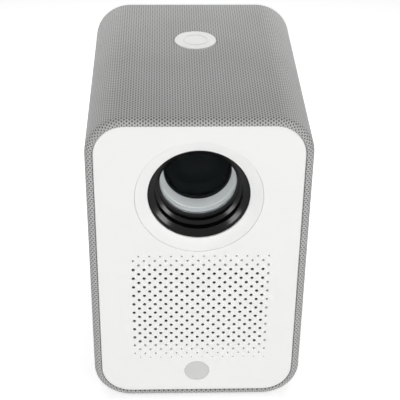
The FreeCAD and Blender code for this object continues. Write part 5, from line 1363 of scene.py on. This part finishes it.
@dataclass
class Studio:
    """Camera, floor, world and lamps, in metres, degrees and watts."""

    focal_mm: float = 100.94
    sensor_mm: float = 36.0
    # Where the camera stands, and its directions ahead and to the right.
    eye: Point3 = (-0.021344, -0.6724, 0.538677)
    ahead: Point3 = (0.03143711, 0.84096951, -0.54016848)
    right: Point3 = (0.99948688, -0.02976988, 0.01182117)
    # What most of the lamps point at.
    middle: Point3 = (0.0, -0.05, 0.12)
    snoot_blend: float = 0.5
    snoot_radius: float = 0.015
    floor_half: float = 6.0
    floor_glow: float = 0.55
    sky_on_part: float = 0.34

    def camera(self) -> None:
        """Set the camera in front of the part, looking down on it."""
        data = bpy.data.cameras.new("camera")
        data.lens = self.focal_mm
        data.sensor_width = self.sensor_mm
        camera = bpy.data.objects.new("camera", data)
        ahead, right = Vector(self.ahead), Vector(self.right)
        turn = Matrix((right, right.cross(ahead), -ahead)).transposed().to_4x4()
        camera.matrix_world = Matrix.Translation(self.eye) @ turn
        bpy.context.scene.collection.objects.link(camera)
        bpy.context.scene.camera = camera

    def hang(self, light: bpy.types.Light, eye: Point3, aim: Point3) -> Piece:
        """Hang a lamp.

        Args:
            light: what it shines.
            eye: where it hangs.
            aim: what it points at.

        Returns:
            The lamp.
        """
        lamp = bpy.data.objects.new(light.name, light)
        lamp.location = eye
        lamp.rotation_euler = (Vector(aim) - Vector(eye)).to_track_quat("-Z", "Y").to_euler()
        bpy.context.scene.collection.objects.link(lamp)
        return lamp

    def softbox(self, name: str, eye: Point3, aim: Point3, size: Point2, watts: float) -> None:
        """Hang one soft lamp.

        Args:
            name: its name.
            eye: where it hangs.
            aim: what it points at.
            size: its width and height.
            watts: its power.
        """
        light = bpy.data.lights.new(name, "AREA")
        light.shape = "RECTANGLE"
        light.size, light.size_y = size
        light.energy = watts
        self.hang(light, eye, aim)

    def snoot(self, eye: Point3, aim: Point3, beam: float, watts: float) -> None:
        """Hang one narrow lamp that reaches down into the lens.

        Args:
            eye: where it hangs.
            aim: what it points at.
            beam: how wide it shines.
            watts: its power.
        """
        light = bpy.data.lights.new("lens_snoot", "SPOT")
        light.spot_size = math.radians(beam)
        light.spot_blend = self.snoot_blend
        light.shadow_soft_size = self.snoot_radius
        light.energy = watts
        self.hang(light, eye, aim).visible_glossy = False

    def seen(self, tree: Tree) -> Socket:
        """One for what the camera sees straight, in a reflection or through glass.

        Args:
            tree: the node tree.

        Returns:
            The value.
        """
        path = add_node(tree, "LightPath").outputs
        direct = add_node(tree, "Math", {0: path["Is Camera Ray"], 1: path["Is Transmission Ray"]},
                          operation="MAXIMUM").outputs[0]
        return add_node(tree, "Math", {0: direct, 1: path["Is Glossy Ray"]}, operation="MAXIMUM",
                        use_clamp=True).outputs[0]

    def floor(self) -> None:
        """Lay a pale floor that keeps a faint shadow."""
        half = self.floor_half
        corners = ((-half, -half), (half, -half), (half, half), (-half, half))
        piece = make_piece("floor", [Vector((x, y, 0.0)) for x, y in corners], [(0, 1, 2, 3)])
        material, tree = new_material("pale_floor")
        paint = add_node(tree, "BsdfDiffuse", {"Color": linear("#f4f4f4")})
        glow = add_node(tree, "Emission", {"Color": linear("#ffffff"), "Strength": self.floor_glow})
        seen = self.seen(tree)
        both = add_node(tree, "AddShader", {0: paint.outputs[0], 1: glow.outputs[0]})
        mix = add_node(tree, "MixShader", {0: seen, 1: paint.outputs[0], 2: both.outputs[0]})
        add_node(tree, "OutputMaterial", {"Surface": mix.outputs[0]})
        piece.data.materials.append(material)

    def world(self) -> None:
        """Surround everything with an even sky: white to the camera, dimmer as light on the part."""
        world = bpy.data.worlds.new("sky")
        world.use_nodes = True
        tree = world.node_tree
        tree.nodes.clear()
        strength = add_node(tree, "MapRange", {"Value": self.seen(tree), "To Min": self.sky_on_part,
                                               "To Max": 1.0}).outputs["Result"]
        sky = add_node(tree, "Background", {"Color": linear("#ffffff"), "Strength": strength})
        add_node(tree, "OutputWorld", {"Surface": sky.outputs[0]})
        bpy.context.scene.world = world

    def set_up(self) -> None:
        """Set up everything that isn't the part."""
        self.camera()
        self.floor()
        self.world()
        self.softbox("left_softbox", (-1.15, -1.25, 0.26), self.middle, (0.4, 0.5), 9.2)
        self.softbox("right_softbox", (1.2, -1.15, 0.26), self.middle, (0.4, 0.5), 10.4)
        self.softbox("high_left_softbox", (-0.75, -0.75, 0.95), self.middle, (0.35, 0.35), 0.6)
        self.softbox("high_right_softbox", (0.75, -0.75, 0.95), self.middle, (0.35, 0.35), 0.6)
        self.softbox("back_softbox", (0.0, 0.38, 0.46), (0.0, 0.06, 0.21), (0.5, 0.2), 1.4)
        self.snoot((0.0, -0.62, 0.58), (0.0, -0.063, 0.139), 3.1, 9.0)
        bpy.context.scene.view_settings.view_transform = "Standard"


def main() -> None:
    """Build everything in order."""
    logging.basicConfig(level=logging.INFO, format="%(message)s")
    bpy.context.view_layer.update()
    Studio().set_up()
    KnitSleeve().dress()
    FrontPanel().dress()
    BackPanel().dress()
    Lens().dress()
    TopButton().dress()
    dress_kept()
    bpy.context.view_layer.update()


if __name__ == "__main__":
    main()
